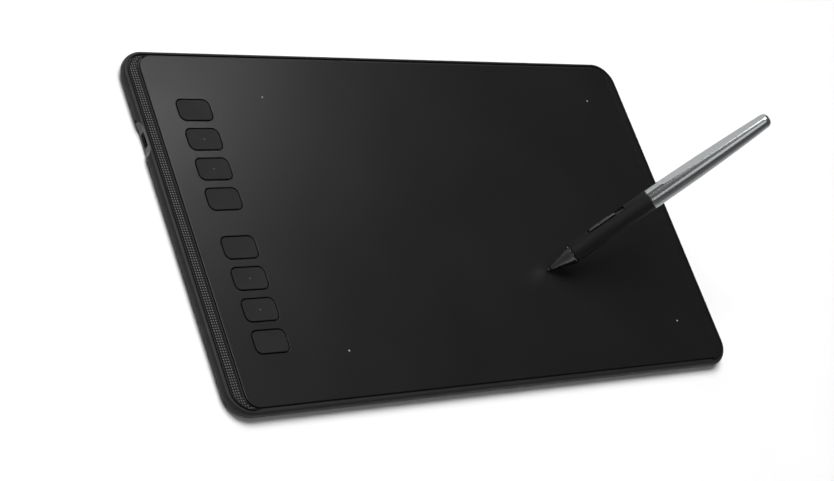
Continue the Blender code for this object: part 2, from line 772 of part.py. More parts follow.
def make_nose_cone(parent):
    """The hollow cone round the nib, with the neck that goes into the grip."""
    (front, back), (small, big) = CONE_Z, CONE_R
    neck_r = GRIP_BORE_R - GAP
    profile = [
        (NIB_R + GAP, front),
        (small, front),
        (big - 0.15 * MM, back - 1.0 * MM),
        (big, back - 0.5 * MM),
        (big - 0.2 * MM, back),
        (neck_r, back),
        (neck_r, NECK_END_Z),
        *CONE_BORE,
        (NIB_R + GAP, 6.0 * MM),
    ]
    revolve("pen_nose_cone", profile, "cone", closed=True, parent=parent)


def ring_shape(name, radii, z_span, finish, parent):
    """A plain tube round the pen's axis."""
    (inner, outer), (front, back) = radii, z_span
    profile = [(inner, front), (outer, front), (outer, back), (inner, back)]
    revolve(name, profile, finish, closed=True, steps=16, parent=parent)


def make_pen_core(parent):
    """Coil, ferrite core, pressure sensor, board and the two switches under the rocker."""
    ring_shape("ferrite_core", CORE_R, CORE_Z, "ferrite", parent)
    ring_shape("antenna_coil", COIL_R, COIL_Z, "copper", parent)
    front, back = SENSOR_Z
    sensor = [(0, front), (SENSOR_R, front), (SENSOR_R, back), (0, back)]
    revolve("pressure_sensor", sensor, "chip", steps=16, parent=parent)
    thick, wide = PEN_BOARD_HALF
    loft("pen_circuit_board", box_rings((-thick, thick), (-wide, wide), PEN_BOARD_Z), "board", parent=parent)
    half = PEN_SWITCH_HALF
    for name, z in PEN_SWITCH_Z.items():
        loft(name, box_rings(PEN_SWITCH_X, (-half, half), (z - half, z + half)), "chip", parent=parent)


def make_grip(parent):
    """The soft front sleeve with the slot for the side button."""
    front, back = GRIP_Z
    profile = [
        (GRIP_BORE_R, front),
        (GRIP_R - 0.35 * MM, front),
        (GRIP_R, front + 0.6 * MM),
        (GRIP_R, back),
        (GRIP_BORE_R, back),
    ]
    grip = revolve("pen_grip", profile, "grip", closed=True, parent=parent)
    outline = rounded(SLOT_Z, (-SLOT_HALF, SLOT_HALF), SLOT_R, 4)
    rings = [[Vector((x, -y, z)) for z, y in outline] for x in SLOT_DEPTH_X]
    cutter = loft("button_slot", rings, None, parent=parent)
    combine(grip, cutter, "DIFFERENCE")


def make_rocker(parent):
    """The two-way side button, which tips about a pin across the grip."""
    pivot = add_empty("rocker_pivot", Matrix.Translation((ROCKER_PIVOT[0], 0, ROCKER_PIVOT[1])), parent)
    side = ROCKER_TOP + ROCKER_UNDERSIDE
    rings = []
    for y in (-ROCKER_HALF, ROCKER_HALF):
        rings.append([Vector((x * MM - ROCKER_PIVOT[0], y, z * MM - ROCKER_PIVOT[1])) for x, z in side])
    rocker = loft("pen_side_button", rings, "key", parent=pivot)
    hole = cylinder_rings((0, 0), PIVOT_R[1], (-4 * MM, 4 * MM), 12)
    crosswise = [[Vector((p.x, p.z, -p.y)) for p in ring] for ring in hole]
    cutter = loft("pin_hole", crosswise, None, parent=pivot)
    combine(rocker, cutter, "DIFFERENCE")
    pin = cylinder_rings((0, 0), PIVOT_R[0], (-PIVOT_HALF, PIVOT_HALF), 12)
    shaft = [[Vector((p.x, p.z, -p.y)) for p in ring] for ring in pin]
    loft("rocker_pin", shaft, "steel", parent=pivot)


def make_barrel(parent):
    """The metallic rear barrel with its neck, blind bore and long flat facet, in line with the button."""
    neck_r = GRIP_BORE_R - GAP
    profile = [(radius * MM, z * MM) for radius, z in BARREL_BORE]
    profile += [(neck_r, profile[-1][1]), (neck_r, BARREL_Z), (BARREL_R, BARREL_Z), (BARREL_R, 90 * MM)]
    profile += [(radius * MM, z * MM) for radius, z in BARREL_TAIL]
    barrel = revolve("pen_barrel", [*profile, (0, PEN_LENGTH)], "metallic", parent=parent)
    end = PEN_LENGTH + 5 * MM
    far = 12 * MM
    tail = FACET_TAIL - (end - PEN_LENGTH) * (FACET_FRONT - FACET_TAIL) / (PEN_LENGTH - FACET_Z)
    lead = ((BARREL_R + 1.2 * MM, FACET_Z - 2 * MM), (FACET_FRONT + 0.5 * MM, FACET_Z + 0.6 * MM))
    outline = [*lead, (FACET_FRONT, FACET_Z + 3 * MM), (tail, end), (far, end), (far, FACET_Z - 2 * MM)]
    rings = [[Vector((x, y, z)) for x, z in outline] for y in (-far, far)]
    combine(barrel, loft("facet_cutter", rings, None, parent=parent), "DIFFERENCE")


def make_pen():
    """The pen, piece by piece, in its own frame."""
    frame = add_empty("pen_frame", pen_matrix())
    nib_frame = add_empty("nib_frame", Matrix.Identity(4), frame)
    make_nib(nib_frame)
    make_nose_cone(frame)
    make_pen_core(frame)
    make_grip(frame)
    make_rocker(frame)
    make_barrel(frame)


def main():
    clear_scene()
    make_bottom_cover()
    make_feet_and_screws()
    make_inner_frame()
    make_drawing_panel()
    make_side_inserts()
    make_keys()
    make_boards()
    make_usb_socket()
    make_reset_button()
    make_pen()


main()
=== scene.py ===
"""Surfaces, finishes and a plain studio for a pen drawing tablet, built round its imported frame.

Shapes are worked out in millimetres and written to their meshes in metres, in the frame's own
coordinates: +X runs away from the express keys, +Y to the top edge and +Z out of the drawing face.
"""

import math

import bpy
import numpy as np
from mathutils import Matrix, Vector
from mathutils.geometry import tessellate_polygon


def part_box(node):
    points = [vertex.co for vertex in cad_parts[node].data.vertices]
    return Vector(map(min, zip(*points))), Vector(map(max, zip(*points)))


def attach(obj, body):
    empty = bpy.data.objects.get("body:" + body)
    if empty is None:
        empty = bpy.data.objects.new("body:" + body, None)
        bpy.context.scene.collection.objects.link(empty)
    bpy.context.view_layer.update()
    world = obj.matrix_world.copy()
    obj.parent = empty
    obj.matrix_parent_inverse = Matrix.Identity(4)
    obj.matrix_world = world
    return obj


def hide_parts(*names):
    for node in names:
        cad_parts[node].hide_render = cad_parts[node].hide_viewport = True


bl_info = {
    "name": "Pen Drawing Tablet",
    "version": (1, 0, 0),
    "blender": (4, 5, 0),
    "location": "View3D > Sidebar > Tablet",
    "description": "Makes a slim pen tablet with sprung express keys and its pen, piece by piece",
    "category": "Add Mesh",
}

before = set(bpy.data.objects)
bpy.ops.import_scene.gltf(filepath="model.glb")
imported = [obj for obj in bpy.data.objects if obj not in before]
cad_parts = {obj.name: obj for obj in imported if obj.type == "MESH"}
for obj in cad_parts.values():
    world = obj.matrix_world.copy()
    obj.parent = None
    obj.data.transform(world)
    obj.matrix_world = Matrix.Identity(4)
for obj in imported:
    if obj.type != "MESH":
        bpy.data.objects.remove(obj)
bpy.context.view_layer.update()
MM = 0.001

KEY_COUNT = 8
DOTTED_KEYS = (2, 3, 6, 7)
KEY_HALF = (10.3, 6.45)  # half the length and width of the frame's key, in millimetres
KEY_GAP = 0.3  # how far a cap's side stands in from that
KEY_TOP = 8.2
WINDOW_GROW = 0.4  # how far a window's wall stands out from it
FACE_BACK = 6.5  # height of the panel's raised underside
LEDGE = 7.1  # height of the ledge that the panel and the strips lie on
SHELL_BACK = 5.9  # height at which the case's inner wall meets its frame seat

SCOOP_FLAT = 6.7  # half length of the flat part of the scoop round the inlet
SCOOP_SLANT = 3.4  # length of the slant at either end of it
SCOOP_DEPTH = 1.7
SCOOP_START = -180.3  # where the slants start, just outside the case's side

SCREW_RADIUS = 1.3
PEN_TIP = (59.1, -37.8, 8.24)
SLOT_SPAN = (32.0, 57.0)  # the grip's slot along the pen's axis
NECK_START = 65.0  # the barrel's neck inside the grip starts here along the pen's axis
TAIL_START = 151.0  # the barrel's wall turns into its rounded tail here


# ---------------------------------------------------------------- what a user may change


def length(label, text, millimetres):
    """A length property with its default in millimetres."""
    return bpy.props.FloatProperty(
        name=label, description=text, default=millimetres * MM, unit="LENGTH", min=0.0
    )


def turn(label, text, degrees):
    """An angle property with its default in degrees."""
    return bpy.props.FloatProperty(
        name=label, description=text, default=math.radians(degrees), unit="ROTATION"
    )


def colour(label, text, values):
    """A colour property."""
    return bpy.props.FloatVectorProperty(
        name=label, description=text, default=values, size=3, subtype="COLOR", min=0.0, max=1.0
    )


def amount(label, text, value, top):
    """A plain number from zero to a top."""
    return bpy.props.FloatProperty(name=label, description=text, default=value, min=0.0, max=top)


class TabletSizes(bpy.types.PropertyGroup):
    """Sizes of the tablet."""

    corner: length("Corner radius", "Radius of the case's corners, seen from above", 14.5)
    rim: length("Rim height", "Height of the case's rim over the table", 7.7)
    belly: length("Widest height", "Height at which the case's side reaches out furthest", 4.5)
    underside: length("Underside round", "How far the underside's curve reaches inwards", 7.0)
    panel_corner: length("Panel corner", "Radius of the drawing panel's corners", 7.5)
    edge_round: length("Edge round", "Radius of the panel's and the keys' upper edges", 0.3)
    thread: length("Weave pitch", "Distance between neighbouring threads of the woven strip", 1.0)
    thread_depth: length("Weave depth", "Height of a thread's crown over the gaps", 0.5)
    key_radius: length("Key corner", "Radius of an express key's corners", 3.7)
    key_dish: length("Key dish", "How far the middle of a key's top is hollowed", 0.16)
    dot: length("Touch dot", "Radius of the raised dot on four of the keys", 0.45)


class PenSizes(bpy.types.PropertyGroup):
    """Sizes of the pen, and how it leans."""

    polar: turn("Lean", "Angle between the pen's axis and upright", 45.1)
    heading: turn("Heading", "Direction that the pen leans in, from +X", 19.84)
    roll: turn("Roll", "Turn of the pen about its own axis", 119.2)
    reach: length("Length", "From the nib's tip to the rounded tail", 155.5)
    grip: length("Grip radius", "Radius of the soft sleeve", 6.1)
    barrel: length("Barrel radius", "Radius of the metallic barrel beside the grip", 6.15)
    facet: length("Facet depth", "Distance of the flat facet from the axis at its front end", 5.05)


class TabletColours(bpy.types.PropertyGroup):
    """Colours of the finishes."""

    case: colour("Case", "Moulded shell, rim and plain side strip", (0.0078, 0.0079, 0.0081))
    panel: colour("Panel", "Matt film of the drawing face", (0.0045, 0.0045, 0.0047))
    # Painted light: the scoop's walls are the case plastic made much lighter, for the light they catch.
    scoop: colour("Scoop", "Smooth walls of the scoop round the inlet", (0.045, 0.045, 0.046))
    # Painted shade: the slot's inner walls are made near black for the shade inside it.
    slot: colour("Inlet slot", "Walls of the inlet's slot", (0.0012, 0.0012, 0.0012))
    foot: colour("Feet", "Rubber feet", (0.012, 0.012, 0.012))
    keys: colour("Keys", "Express key caps", (0.0155, 0.0156, 0.0158))
    # Painted highlight: the dots are made far lighter than the keys, for the light they catch.
    dots: colour("Touch dots", "Raised dots on four of the keys", (0.07, 0.07, 0.07))
    # The weave's colour is the painted light on the threads' tops; the gaps are painted shade from it.
    weave: colour("Weave", "Crowns of the woven strip's threads", (0.17, 0.17, 0.172))
    marks: colour("Corner marks", "Printed dots at the working corners", (0.34, 0.34, 0.34))
    barrel: colour("Barrel", "Metallic lacquer of the pen's barrel", (0.285, 0.295, 0.30))
    grip: colour("Grip", "Soft sleeve of the pen", (0.0062, 0.0062, 0.0064))
    cone: colour("Nose cone", "Metallic nose cone of the pen", (0.095, 0.093, 0.095))
    nib: colour("Nib", "Plastic nib of the pen", (0.02, 0.02, 0.02))
    button: colour("Side button", "Pressed part of the pen's side button", (0.016, 0.016, 0.0165))
    # Near black: the tail piece's own colour, and painted shade on the pad's side walls and underside.
    tail: colour("Button tail", "Gloss tail and walls of the side button", (0.0008, 0.0008, 0.0008))


class Studio(bpy.types.PropertyGroup):
    """Light and floor."""

    floor: colour("Floor", "Pale floor under the tablet", (0.88, 0.88, 0.88))
    main_light: amount("Main light", "Watts of the large soft box overhead", 125.0, 500.0)
    sheen_light: amount("Sheen light", "Watts of the small lamp that the face mirrors", 0.51, 500.0)
    side_light: amount("Side light", "Watts of the soft box on the camera's side", 2.8, 500.0)
    back_light: amount("Back light", "Watts of the low soft box behind the tablet", 1.5, 500.0)
    horizon: amount("Horizon", "Brightness of the surroundings near the horizon", 0.36, 10.0)
    zenith: amount("Ceiling", "Brightness of the surroundings overhead", 0.03, 10.0)


GROUPS = {
    "tablet_sizes": TabletSizes,
    "pen_sizes": PenSizes,
    "tablet_colours": TabletColours,
    "tablet_studio": Studio,
}


# ---------------------------------------------------------------- meshes


def write_mesh(name, points, faces, smooth=35.0):
    """A mesh from points in millimetres and arrays of faces, each array with its own corner count."""
    mesh = bpy.data.meshes.new(name)
    corners = np.concatenate([f.ravel() for f in faces]).astype(np.int32)
    sizes = np.concatenate([np.full(len(f), f.shape[1]) for f in faces])
    starts = np.concatenate([[0], np.cumsum(sizes)[:-1]]).astype(np.int32)
    mesh.vertices.add(len(points))
    mesh.vertices.foreach_set("co", (np.asarray(points) * MM).astype(np.float32).ravel())
    mesh.loops.add(len(corners))
    mesh.loops.foreach_set("vertex_index", corners)
    mesh.polygons.add(len(sizes))
    mesh.polygons.foreach_set("loop_start", starts)
    mesh.update(calc_edges=True)
    mesh.validate()
    mesh.shade_smooth()
    mesh.set_sharp_from_angle(angle=math.radians(smooth))
    return mesh


def add_piece(name, shape, finish, body, stands_for=(), smooth=35.0):
    """A finished piece: mesh, finish, the body that it rides on and the frame nodes it stands for."""
    piece = bpy.data.objects.new(name, write_mesh(name, *shape, smooth))
    piece.data.materials.append(finish)
    bpy.context.scene.collection.objects.link(piece)
    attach(piece, body)
    if stands_for:
        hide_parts(*stands_for)
    return piece


def skin(rings, over=False):
    """Points and faces of a skin over closed rings.

    rings[i, j] is point j of ring i. Neighbours along and between rings make quads. The first and the
    last ring are closed by a flat face, unless over joins the last ring back to the first.
    """
    count, around = rings.shape[:2]
    low = np.arange(count if over else count - 1)[:, None] * around
    here = np.arange(around)[None, :]
    ahead = (here + 1) % around
    high = (low + around) % (count * around)
    quads = np.stack([low + here, low + ahead, high + ahead, high + here], -1).reshape(-1, 4)
    faces = [quads]
    if not over:
        ends = np.arange(around)
        faces += [ends[None, ::-1], ends[None, :] + (count - 1) * around]
    return rings.reshape(-1, 3), faces


def together(shapes):
    """Several shapes as one: points in a row, each shape's faces counted on from the points before."""
    points = []
    faces = []
    start = 0
    for some, skins in shapes:
        points.append(some)
        faces += [f + start for f in skins]
        start += len(some)
    return np.concatenate(points), faces


def lifted(outline, z):
    """A flat outline as a ring at one height."""
    return np.column_stack([outline, np.full(len(outline), z)])


def rounded(x_span, y_span, radius, steps=16):
    """Outline of a rectangle with round corners, anticlockwise from the lower right.

    Each corner is its centre plus radius times (cos, sin) of an angle that runs through a quarter turn.
    """
    (x0, x1), (y0, y1) = x_span, y_span
    angles = np.radians(np.array([270, 0, 90, 180])[:, None] + np.linspace(0, 90, steps + 1))
    x = np.array([x1 - radius, x1 - radius, x0 + radius, x0 + radius])[:, None]
    y = np.array([y0 + radius, y1 - radius, y1 - radius, y0 + radius])[:, None]
    corners = (x + radius * np.cos(angles), y + radius * np.sin(angles))
    return np.stack([part.ravel() for part in corners], -1)


def circle_with(outline, centre, radius):
    """A circle with as many points as the outline, starting in the direction of its first point."""
    first = outline[0] - centre
    angles = math.atan2(first[1], first[0]) + np.linspace(0, 2 * math.pi, len(outline), endpoint=False)
    return centre + radius * np.stack([np.cos(angles), np.sin(angles)], -1)


def flared(start, end, steps=6):
    """Inset and height along a rounded edge: a quarter ellipse that leaves its side upright.

    With t in a quarter turn, inset goes with 1 - cos t and height with sin t.
    """
    t = np.linspace(0, math.pi / 2, steps + 1)
    inset = start[0] + (end[0] - start[0]) * (1 - np.cos(t))
    return np.stack([inset, start[1] + (end[1] - start[1]) * np.sin(t)], -1)


def filled(outlines):
    """Triangles that fill the first outline round the others, all facing up."""
    flat = np.concatenate(outlines)
    loops = [[Vector((x, y, 0.0)) for x, y in outline] for outline in outlines]
    triangles = np.array(tessellate_polygon(loops))
    a, b, c = (flat[triangles[:, k]] for k in range(3))
    crossed = (b[:, 0] - a[:, 0]) * (c[:, 1] - a[:, 1]) - (b[:, 1] - a[:, 1]) * (c[:, 0] - a[:, 0])
    triangles[crossed < 0] = triangles[crossed < 0][:, ::-1]
    return triangles[np.abs(crossed) > 1e-9]


def cut(piece, cutter):
    """Take the cutter's shape out of the piece and keep the result as the piece's own mesh."""
    tool = bpy.data.objects.new("cutter", write_mesh("cutter", *cutter))
    bpy.context.scene.collection.objects.link(tool)
    modifier = piece.modifiers.new("cut", "BOOLEAN")
    modifier.object = tool
    modifier.solver = "EXACT"
    graph = bpy.context.evaluated_depsgraph_get()
    made = bpy.data.meshes.new_from_object(piece.evaluated_get(graph))
    piece.modifiers.clear()
    piece.data = made
    bpy.data.objects.remove(tool)
    made.shade_smooth()
    made.set_sharp_from_angle(angle=math.radians(35))


# ---------------------------------------------------------------- finishes


def add(tree, kind, inputs, **settings):
    """A shader node with its settings, and each input either set or linked."""
    made = tree.nodes.new("ShaderNode" + kind)
    for key, value in settings.items():
        setattr(made, key, value)
    for key, value in inputs.items():
        if isinstance(value, bpy.types.NodeSocket):
            tree.links.new(value, made.inputs[key])
        else:
            made.inputs[key].default_value = value
    return made


def plain_finish(name, base, roughness, metallic=0.0, **even):
    """A material whose even values stand on its shader, and its tree, shader and coordinates."""
    made = bpy.data.materials.new(name)
    made.use_nodes = True
    tree = made.node_tree
    shader = tree.nodes["Principled BSDF"]
    shader.inputs["Base Color"].default_value = (*base, 1.0)
    shader.inputs["Roughness"].default_value = roughness
    shader.inputs["Metallic"].default_value = metallic
    for key, value in even.items():
        shader.inputs[key.replace("_", " ")].default_value = value
    made.diffuse_color = (*base, 1.0)
    return made, tree, shader, add(tree, "TexCoord", {}).outputs["Object"]


def noise(tree, coords, size, detail=2.0):
    """Cloudy pattern from 0 to 1 with patches of about this size, in millimetres."""
    inputs = {"Vector": coords, "Scale": 1.0 / (size * MM), "Detail": detail}
    return add(tree, "TexNoise", inputs).outputs["Fac"]


def cells(tree, coords, size, output):
    """Pattern of cells about this many millimetres across: distance from their middles, or a colour."""
    inputs = {"Vector": coords, "Scale": 1.0 / (size * MM)}
    return add(tree, "TexVoronoi", inputs).outputs[output]


def between(tree, value, low, high, start=0.3, end=0.7):
    """A pattern's values from start to end spread over low to high."""
    inputs = {"Value": value, "From Min": start, "From Max": end, "To Min": low, "To Max": high}
    return add(tree, "MapRange", inputs).outputs["Result"]


def blended(tree, value, dark, light):
    """Colour that goes from dark to light with a pattern."""
    inputs = {0: value, 6: (*dark, 1.0), 7: (*light, 1.0)}
    return add(tree, "Mix", inputs, data_type="RGBA").outputs[2]


def paint(tree, shader, pattern, dark, light):
    """Let a pattern carry the shader's colour from dark to light."""
    tree.links.new(blended(tree, pattern, dark, light), shader.inputs["Base Color"])


def times(base, factor):
    """A colour made lighter or darker."""
    return tuple(min(1.0, c * factor) for c in base)


def raised(tree, shader, height, depth, strength=1.0):
    """Fine relief of this depth in millimetres on the shader's normal."""
    inputs = {"Height": height, "Distance": depth * MM, "Strength": strength}
    tree.links.new(add(tree, "Bump", inputs).outputs["Normal"], shader.inputs["Normal"])


def moulded(name, base, roughness, grain=0.35, depth=0.02, **even):
    """Moulded plastic: spark-eroded grain, faintly clouded colour and patches of handling gloss."""
    made, tree, shader, coords = plain_finish(name, base, roughness, **even)
    cloud = between(tree, noise(tree, coords, 28.0, 3.0), 0, 1)
    paint(tree, shader, cloud, times(base, 0.9), times(base, 1.1))
    gloss = between(tree, noise(tree, coords, 9.0, 4.0), roughness - 0.04, roughness + 0.05)
    tree.links.new(gloss, shader.inputs["Roughness"])
    raised(tree, shader, noise(tree, coords, grain, 2.0), depth)
    return made


def film(name, base, roughness):
    """Matt drawing film: an even micro-etched tooth, with faint rubbed patches where the pen works."""
    made, tree, shader, coords = plain_finish(name, base, roughness, Specular_IOR_Level=0.35)
    rubbed = between(tree, noise(tree, coords, 60.0, 2.0), 0.0, 1.0, 0.35, 0.65)
    gloss = between(tree, rubbed, roughness - 0.015, roughness + 0.015, 0, 1)
    tree.links.new(gloss, shader.inputs["Roughness"])
    speck = between(tree, noise(tree, coords, 0.3, 1.0), 0.0, 1.0)
    paint(tree, shader, speck, times(base, 0.88), times(base, 1.12))
    raised(tree, shader, cells(tree, coords, 0.22, "Distance"), 0.006, 0.5)
    return made


def woven(name, base):
    """Woven insert: painted light on the threads' tops and painted shade, nearly black, in the gaps,
    with a fibre streak.
    """
    made, tree, shader, coords = plain_finish(name, base, 0.5, 0.0, Specular_IOR_Level=0.15)
    relief = add(tree, "Attribute", {}, attribute_name="relief").outputs["Fac"]
    # Colour follows the relief attribute: painted light where it is high, painted shade where it is low.
    crown = add(tree, "Math", {0: relief, 1: 3.0}, operation="POWER").outputs[0]
    paint(tree, shader, crown, times(base, 0.03), times(base, 1.2))
    tree.links.new(between(tree, relief, 0.75, 0.42, 0.0, 1.0), shader.inputs["Roughness"])
    place = {"Vector": coords, "Rotation": (0, 0, math.radians(45)), "Scale": (1, 8, 1)}
    fibre = noise(tree, add(tree, "Mapping", place).outputs[0], 0.5, 2.0)
    raised(tree, shader, fibre, 0.02, 0.6)
    return made


def rubber(name, base):
    """Matt rubber: fine grain, dusty lighter patches."""
    made, tree, shader, coords = plain_finish(name, base, 0.85)
    dust = between(tree, noise(tree, coords, 3.0, 4.0), 0, 1)
    paint(tree, shader, dust, base, times(base, 1.8))
    raised(tree, shader, noise(tree, coords, 0.25, 3.0), 0.03)
    return made


def plated(name, base, roughness, turned=None):
    """Plated or drawn metal: fine streaks along one direction and slight tarnish."""
    made, tree, shader, coords = plain_finish(name, base, roughness, 1.0)
    stretched = add(tree, "Mapping", {"Vector": coords, "Scale": turned or (1, 0.05, 1)}).outputs[0]
    streak = noise(tree, stretched, 0.2, 3.0)
    tree.links.new(between(tree, streak, roughness - 0.08, roughness + 0.1), shader.inputs["Roughness"])
    stain = between(tree, noise(tree, coords, 2.5, 3.0), 0, 1)
    paint(tree, shader, stain, times(base, 0.75), base)
    raised(tree, shader, streak, 0.004)
    return made


def circuit(name, base, pitch):
    """Circuit board: solder mask over copper traces that run in stepped bands."""
    made, tree, shader, coords = plain_finish(name, base, 0.35)
    inputs = {"Vector": coords, "Scale": 1.0 / (pitch * MM), "Distortion": 0.0}
    bands = add(tree, "TexWave", inputs, bands_direction="DIAGONAL").outputs["Fac"]
    inputs = {"Vector": coords, "Scale": 0.12 / (pitch * MM)}
    blocks = add(tree, "TexVoronoi", inputs, distance="CHEBYCHEV")
    where = between(tree, blocks.outputs["Distance"], 0, 1, 0.25, 0.3)
    copper = between(tree, bands, 0, 1, 0.5, 0.55)
    traces = add(tree, "Math", {0: copper, 1: where}, operation="MULTIPLY").outputs[0]
    paint(tree, shader, traces, base, times(base, 2.6))
    raised(tree, shader, traces, 0.03)
    return made


def epoxy(name, base):
    """Moulded chip or switch body: fine glassy grit in black resin."""
    made, tree, shader, coords = plain_finish(name, base, 0.5)
    grit = cells(tree, coords, 0.15, "Distance")
    paint(tree, shader, grit, times(base, 0.7), times(base, 1.6))
    raised(tree, shader, grit, 0.01)
    return made


def banded(coords, pitch):
    """Inputs of a wave pattern with one band for each pitch in millimetres.

    The node's wave turns through 20 radians in a unit, so a band takes 2 pi over 20, or 0.314, of one.
    """
    return {"Vector": coords, "Scale": 0.314 / (pitch * MM)}


def ribboned(name, base, line, pitch):
    """Flat cable or contact block: straight conductors side by side across Y."""
    made, tree, shader, coords = plain_finish(name, base, 0.4)
    wave = add(tree, "TexWave", banded(coords, pitch), bands_direction="Y")
    lines = between(tree, wave.outputs["Fac"], 0, 1, 0.45, 0.55)
    paint(tree, shader, lines, base, line)
    raised(tree, shader, lines, 0.02)
    return made


def pen_frame():
    """The pen's own frame: nib tip, heading, lean and roll, in millimetres."""
    pen = bpy.context.scene.pen_sizes
    lean = Matrix.Rotation(pen.heading, 4, "Z") @ Matrix.Rotation(pen.polar, 4, "Y")
    return Matrix.Translation(PEN_TIP) @ lean @ Matrix.Rotation(pen.roll, 4, "Z")


def pen_coords(tree, coords, scale=(1, 1, 1)):
    """Object coordinates turned so that +Z runs up the pen's axis, from the nib's tip, then scaled."""
    back = pen_frame().inverted()
    place = {"Vector": coords, "Rotation": back.to_euler("XYZ"), "Location": back.translation * MM}
    upright = add(tree, "Mapping", place).outputs[0]
    return add(tree, "VectorMath", {0: upright, 1: scale}, operation="MULTIPLY").outputs[0]


def lacquered(name, base, roughness, metallic):
    """Metallic lacquer: tiny flakes that vary the tint, and brushing along the pen's axis."""
    made, tree, shader, coords = plain_finish(name, base, roughness, metallic)
    bright = add(tree, "SeparateColor", {0: cells(tree, coords, 0.12, "Color")}).outputs[0]
    paint(tree, shader, bright, times(base, 0.9), times(base, 1.1))
    streak = noise(tree, pen_coords(tree, coords, (1, 1, 0.1)), 0.25, 3.0)
    gloss = between(tree, streak, roughness - 0.015, roughness + 0.015)
    tree.links.new(gloss, shader.inputs["Roughness"])
    raised(tree, shader, streak, 0.0004)
    return made


def soft_touch(name, base):
    """Soft sleeve: velvety coat, fine stipple and faint lighter rubbing where fingers hold it."""
    made, tree, shader, coords = plain_finish(
        name, base, 0.62, Sheen_Weight=0.01, Sheen_Roughness=0.5, Specular_IOR_Level=0.12
    )
    rub = between(tree, noise(tree, pen_coords(tree, coords, (1, 1, 0.3)), 4.0, 3.0), 0, 1)
    paint(tree, shader, rub, times(base, 0.85), times(base, 1.25))
    tree.links.new(between(tree, rub, 0.66, 0.56, 0, 1), shader.inputs["Roughness"])
    raised(tree, shader, cells(tree, coords, 0.28, "Distance"), 0.012)
    return made


def wound(name, base, pitch):
    """Fine enamelled wire wound round the pen's axis, one ridge for each turn, darker in the grooves
    between turns as painted shade.
    """
    made, tree, shader, coords = plain_finish(name, base, 0.3, 1.0)
    along = pen_coords(tree, coords)
    wave = add(tree, "TexWave", banded(along, pitch), bands_direction="Z").outputs["Fac"]
    # Painted shade: the colour darkens in the grooves between turns.
    paint(tree, shader, wave, times(base, 0.3), base)
    raised(tree, shader, wave, 0.05)
    return made


# ---------------------------------------------------------------- the tablet's shapes


def node_box(name):
    """Lowest and highest corner of a frame node, in millimetres."""
    return tuple(np.array(corner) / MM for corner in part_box(name))


def case_outline(inset, left_edge):
    """Outline of the case drawn in by an inset, with extra points down its left side at these Y."""
    low, high = node_box("bottom_cover")
    radius = bpy.context.scene.tablet_sizes.corner / MM - inset
    steps = 24
    x_span, y_span = ((low[k] + inset, high[k] - inset) for k in (0, 1))
    outline = rounded(x_span, y_span, radius, steps)
    third = 3 * (steps + 1)
    edge = np.stack([np.full(len(left_edge), x_span[0]), left_edge], -1)
    return np.concatenate([outline[:third], edge, outline[third:]])


def case_profile():
    """Inset and height along the skin, from the underside round the rim and down inside to the floor.

    With t in a quarter turn, the inset is its reach times 1 - cos t, and the height is the widest height
    minus or plus its rise times sin t. Over the widest height both take the power 0.8, a fuller curve.
    """
    sizes = bpy.context.scene.tablet_sizes
    belly, rim, reach = sizes.belly / MM, sizes.rim / MM, sizes.underside / MM
    bottom = node_box("bottom_cover")[0][2]
    t = np.linspace(math.pi / 2, 0, 19)
    under = np.stack([reach * (1 - np.cos(t)), belly - (belly - bottom) * np.sin(t)], -1)
    t = np.linspace(0, math.pi / 2, 17)[1:]
    side = np.stack([2.0 * (1 - np.cos(t) ** 0.8), belly + (rim - belly) * np.sin(t) ** 0.8], -1)
    lip = [(2.07, rim - 0.03), (2.1, rim - 0.1)]
    inside = [(2.1, SHELL_BACK), (4.0, SHELL_BACK), (4.0, 2.6), (5.0, 1.7), (5.6, 1.7)]
    return np.concatenate([[(reach + 0.6, bottom)], under, side, lip, inside])


def screw_places():
    """Centres of the six screws, each under its foot."""
    return [np.array((x, y)) for y in (94.0, -94.0) for x in (-140.0, 0.0, 140.0)]


def inlet_place():
    """Y and Z of the USB inlet's middle."""
    low, high = node_box("usb_socket")
    return (low[1:] + high[1:]) / 2


def scooped(rings):
    """Rings with the flat scoop round the USB inlet pressed into the left side.

    X is held at or inside a limit that is the side itself far from the inlet, slants in at a steady
    rate towards it and is flat either way of the inlet's middle.
    """
    away = np.abs(rings[..., 1] - inlet_place()[0])
    limit = SCOOP_START + SCOOP_DEPTH * np.clip((SCOOP_FLAT + SCOOP_SLANT - away) / SCOOP_SLANT, 0, 1)
    left = rings[..., 0] < 0
    rings[..., 0] = np.where(left, np.maximum(rings[..., 0], limit), rings[..., 0])
    return rings


def sideways(rings):
    """Rings drawn in (y, z) and stacked along x."""
    return np.stack([rings[..., 2], rings[..., 0], rings[..., 1]], -1)


def side_openings():
    """Cutters for the inlet's slot, with a chamfered mouth, and for the reset pin's hole."""
    y, z = inlet_place()
    slot = []
    for x, grow in ((-181.5, 0.3), (-178.65, 0.3), (-178.3, 0.0), (-175.6, 0.0)):
        half_y, half_z = 4.05 + grow, 1.45 + grow
        mouth = rounded((y - half_y, y + half_y), (z - half_z, z + half_z), 0.9 + grow, 8)
        slot.append(lifted(mouth, x))
    low, high = node_box("reset_plunger")
    middle = ((low + high) / 2)[1:]
    pin = []
    circle = rounded((middle[0] - 1, middle[0] + 1), (middle[1] - 1, middle[1] + 1), 0.99, 8)
    for x, radius in ((-181.5, 1.05), (-180.25, 1.05), (-179.95, 0.8), (-175.6, 0.8)):
        pin.append(lifted(circle_with(circle, middle, radius), x))
    return [skin(sideways(np.array(slot))), skin(sideways(np.array(pin)))]


def foot_outline(centre, grow=0.0, steps=12):
    """Outline of one foot, a bar with round ends, or of its pocket when grown."""
    half_x, half_y = 12.0 + grow, 4.0 + grow
    x, y = centre
    return rounded((x - half_x, x + half_x), (y - half_y, y + half_y), half_y - 0.2, steps)


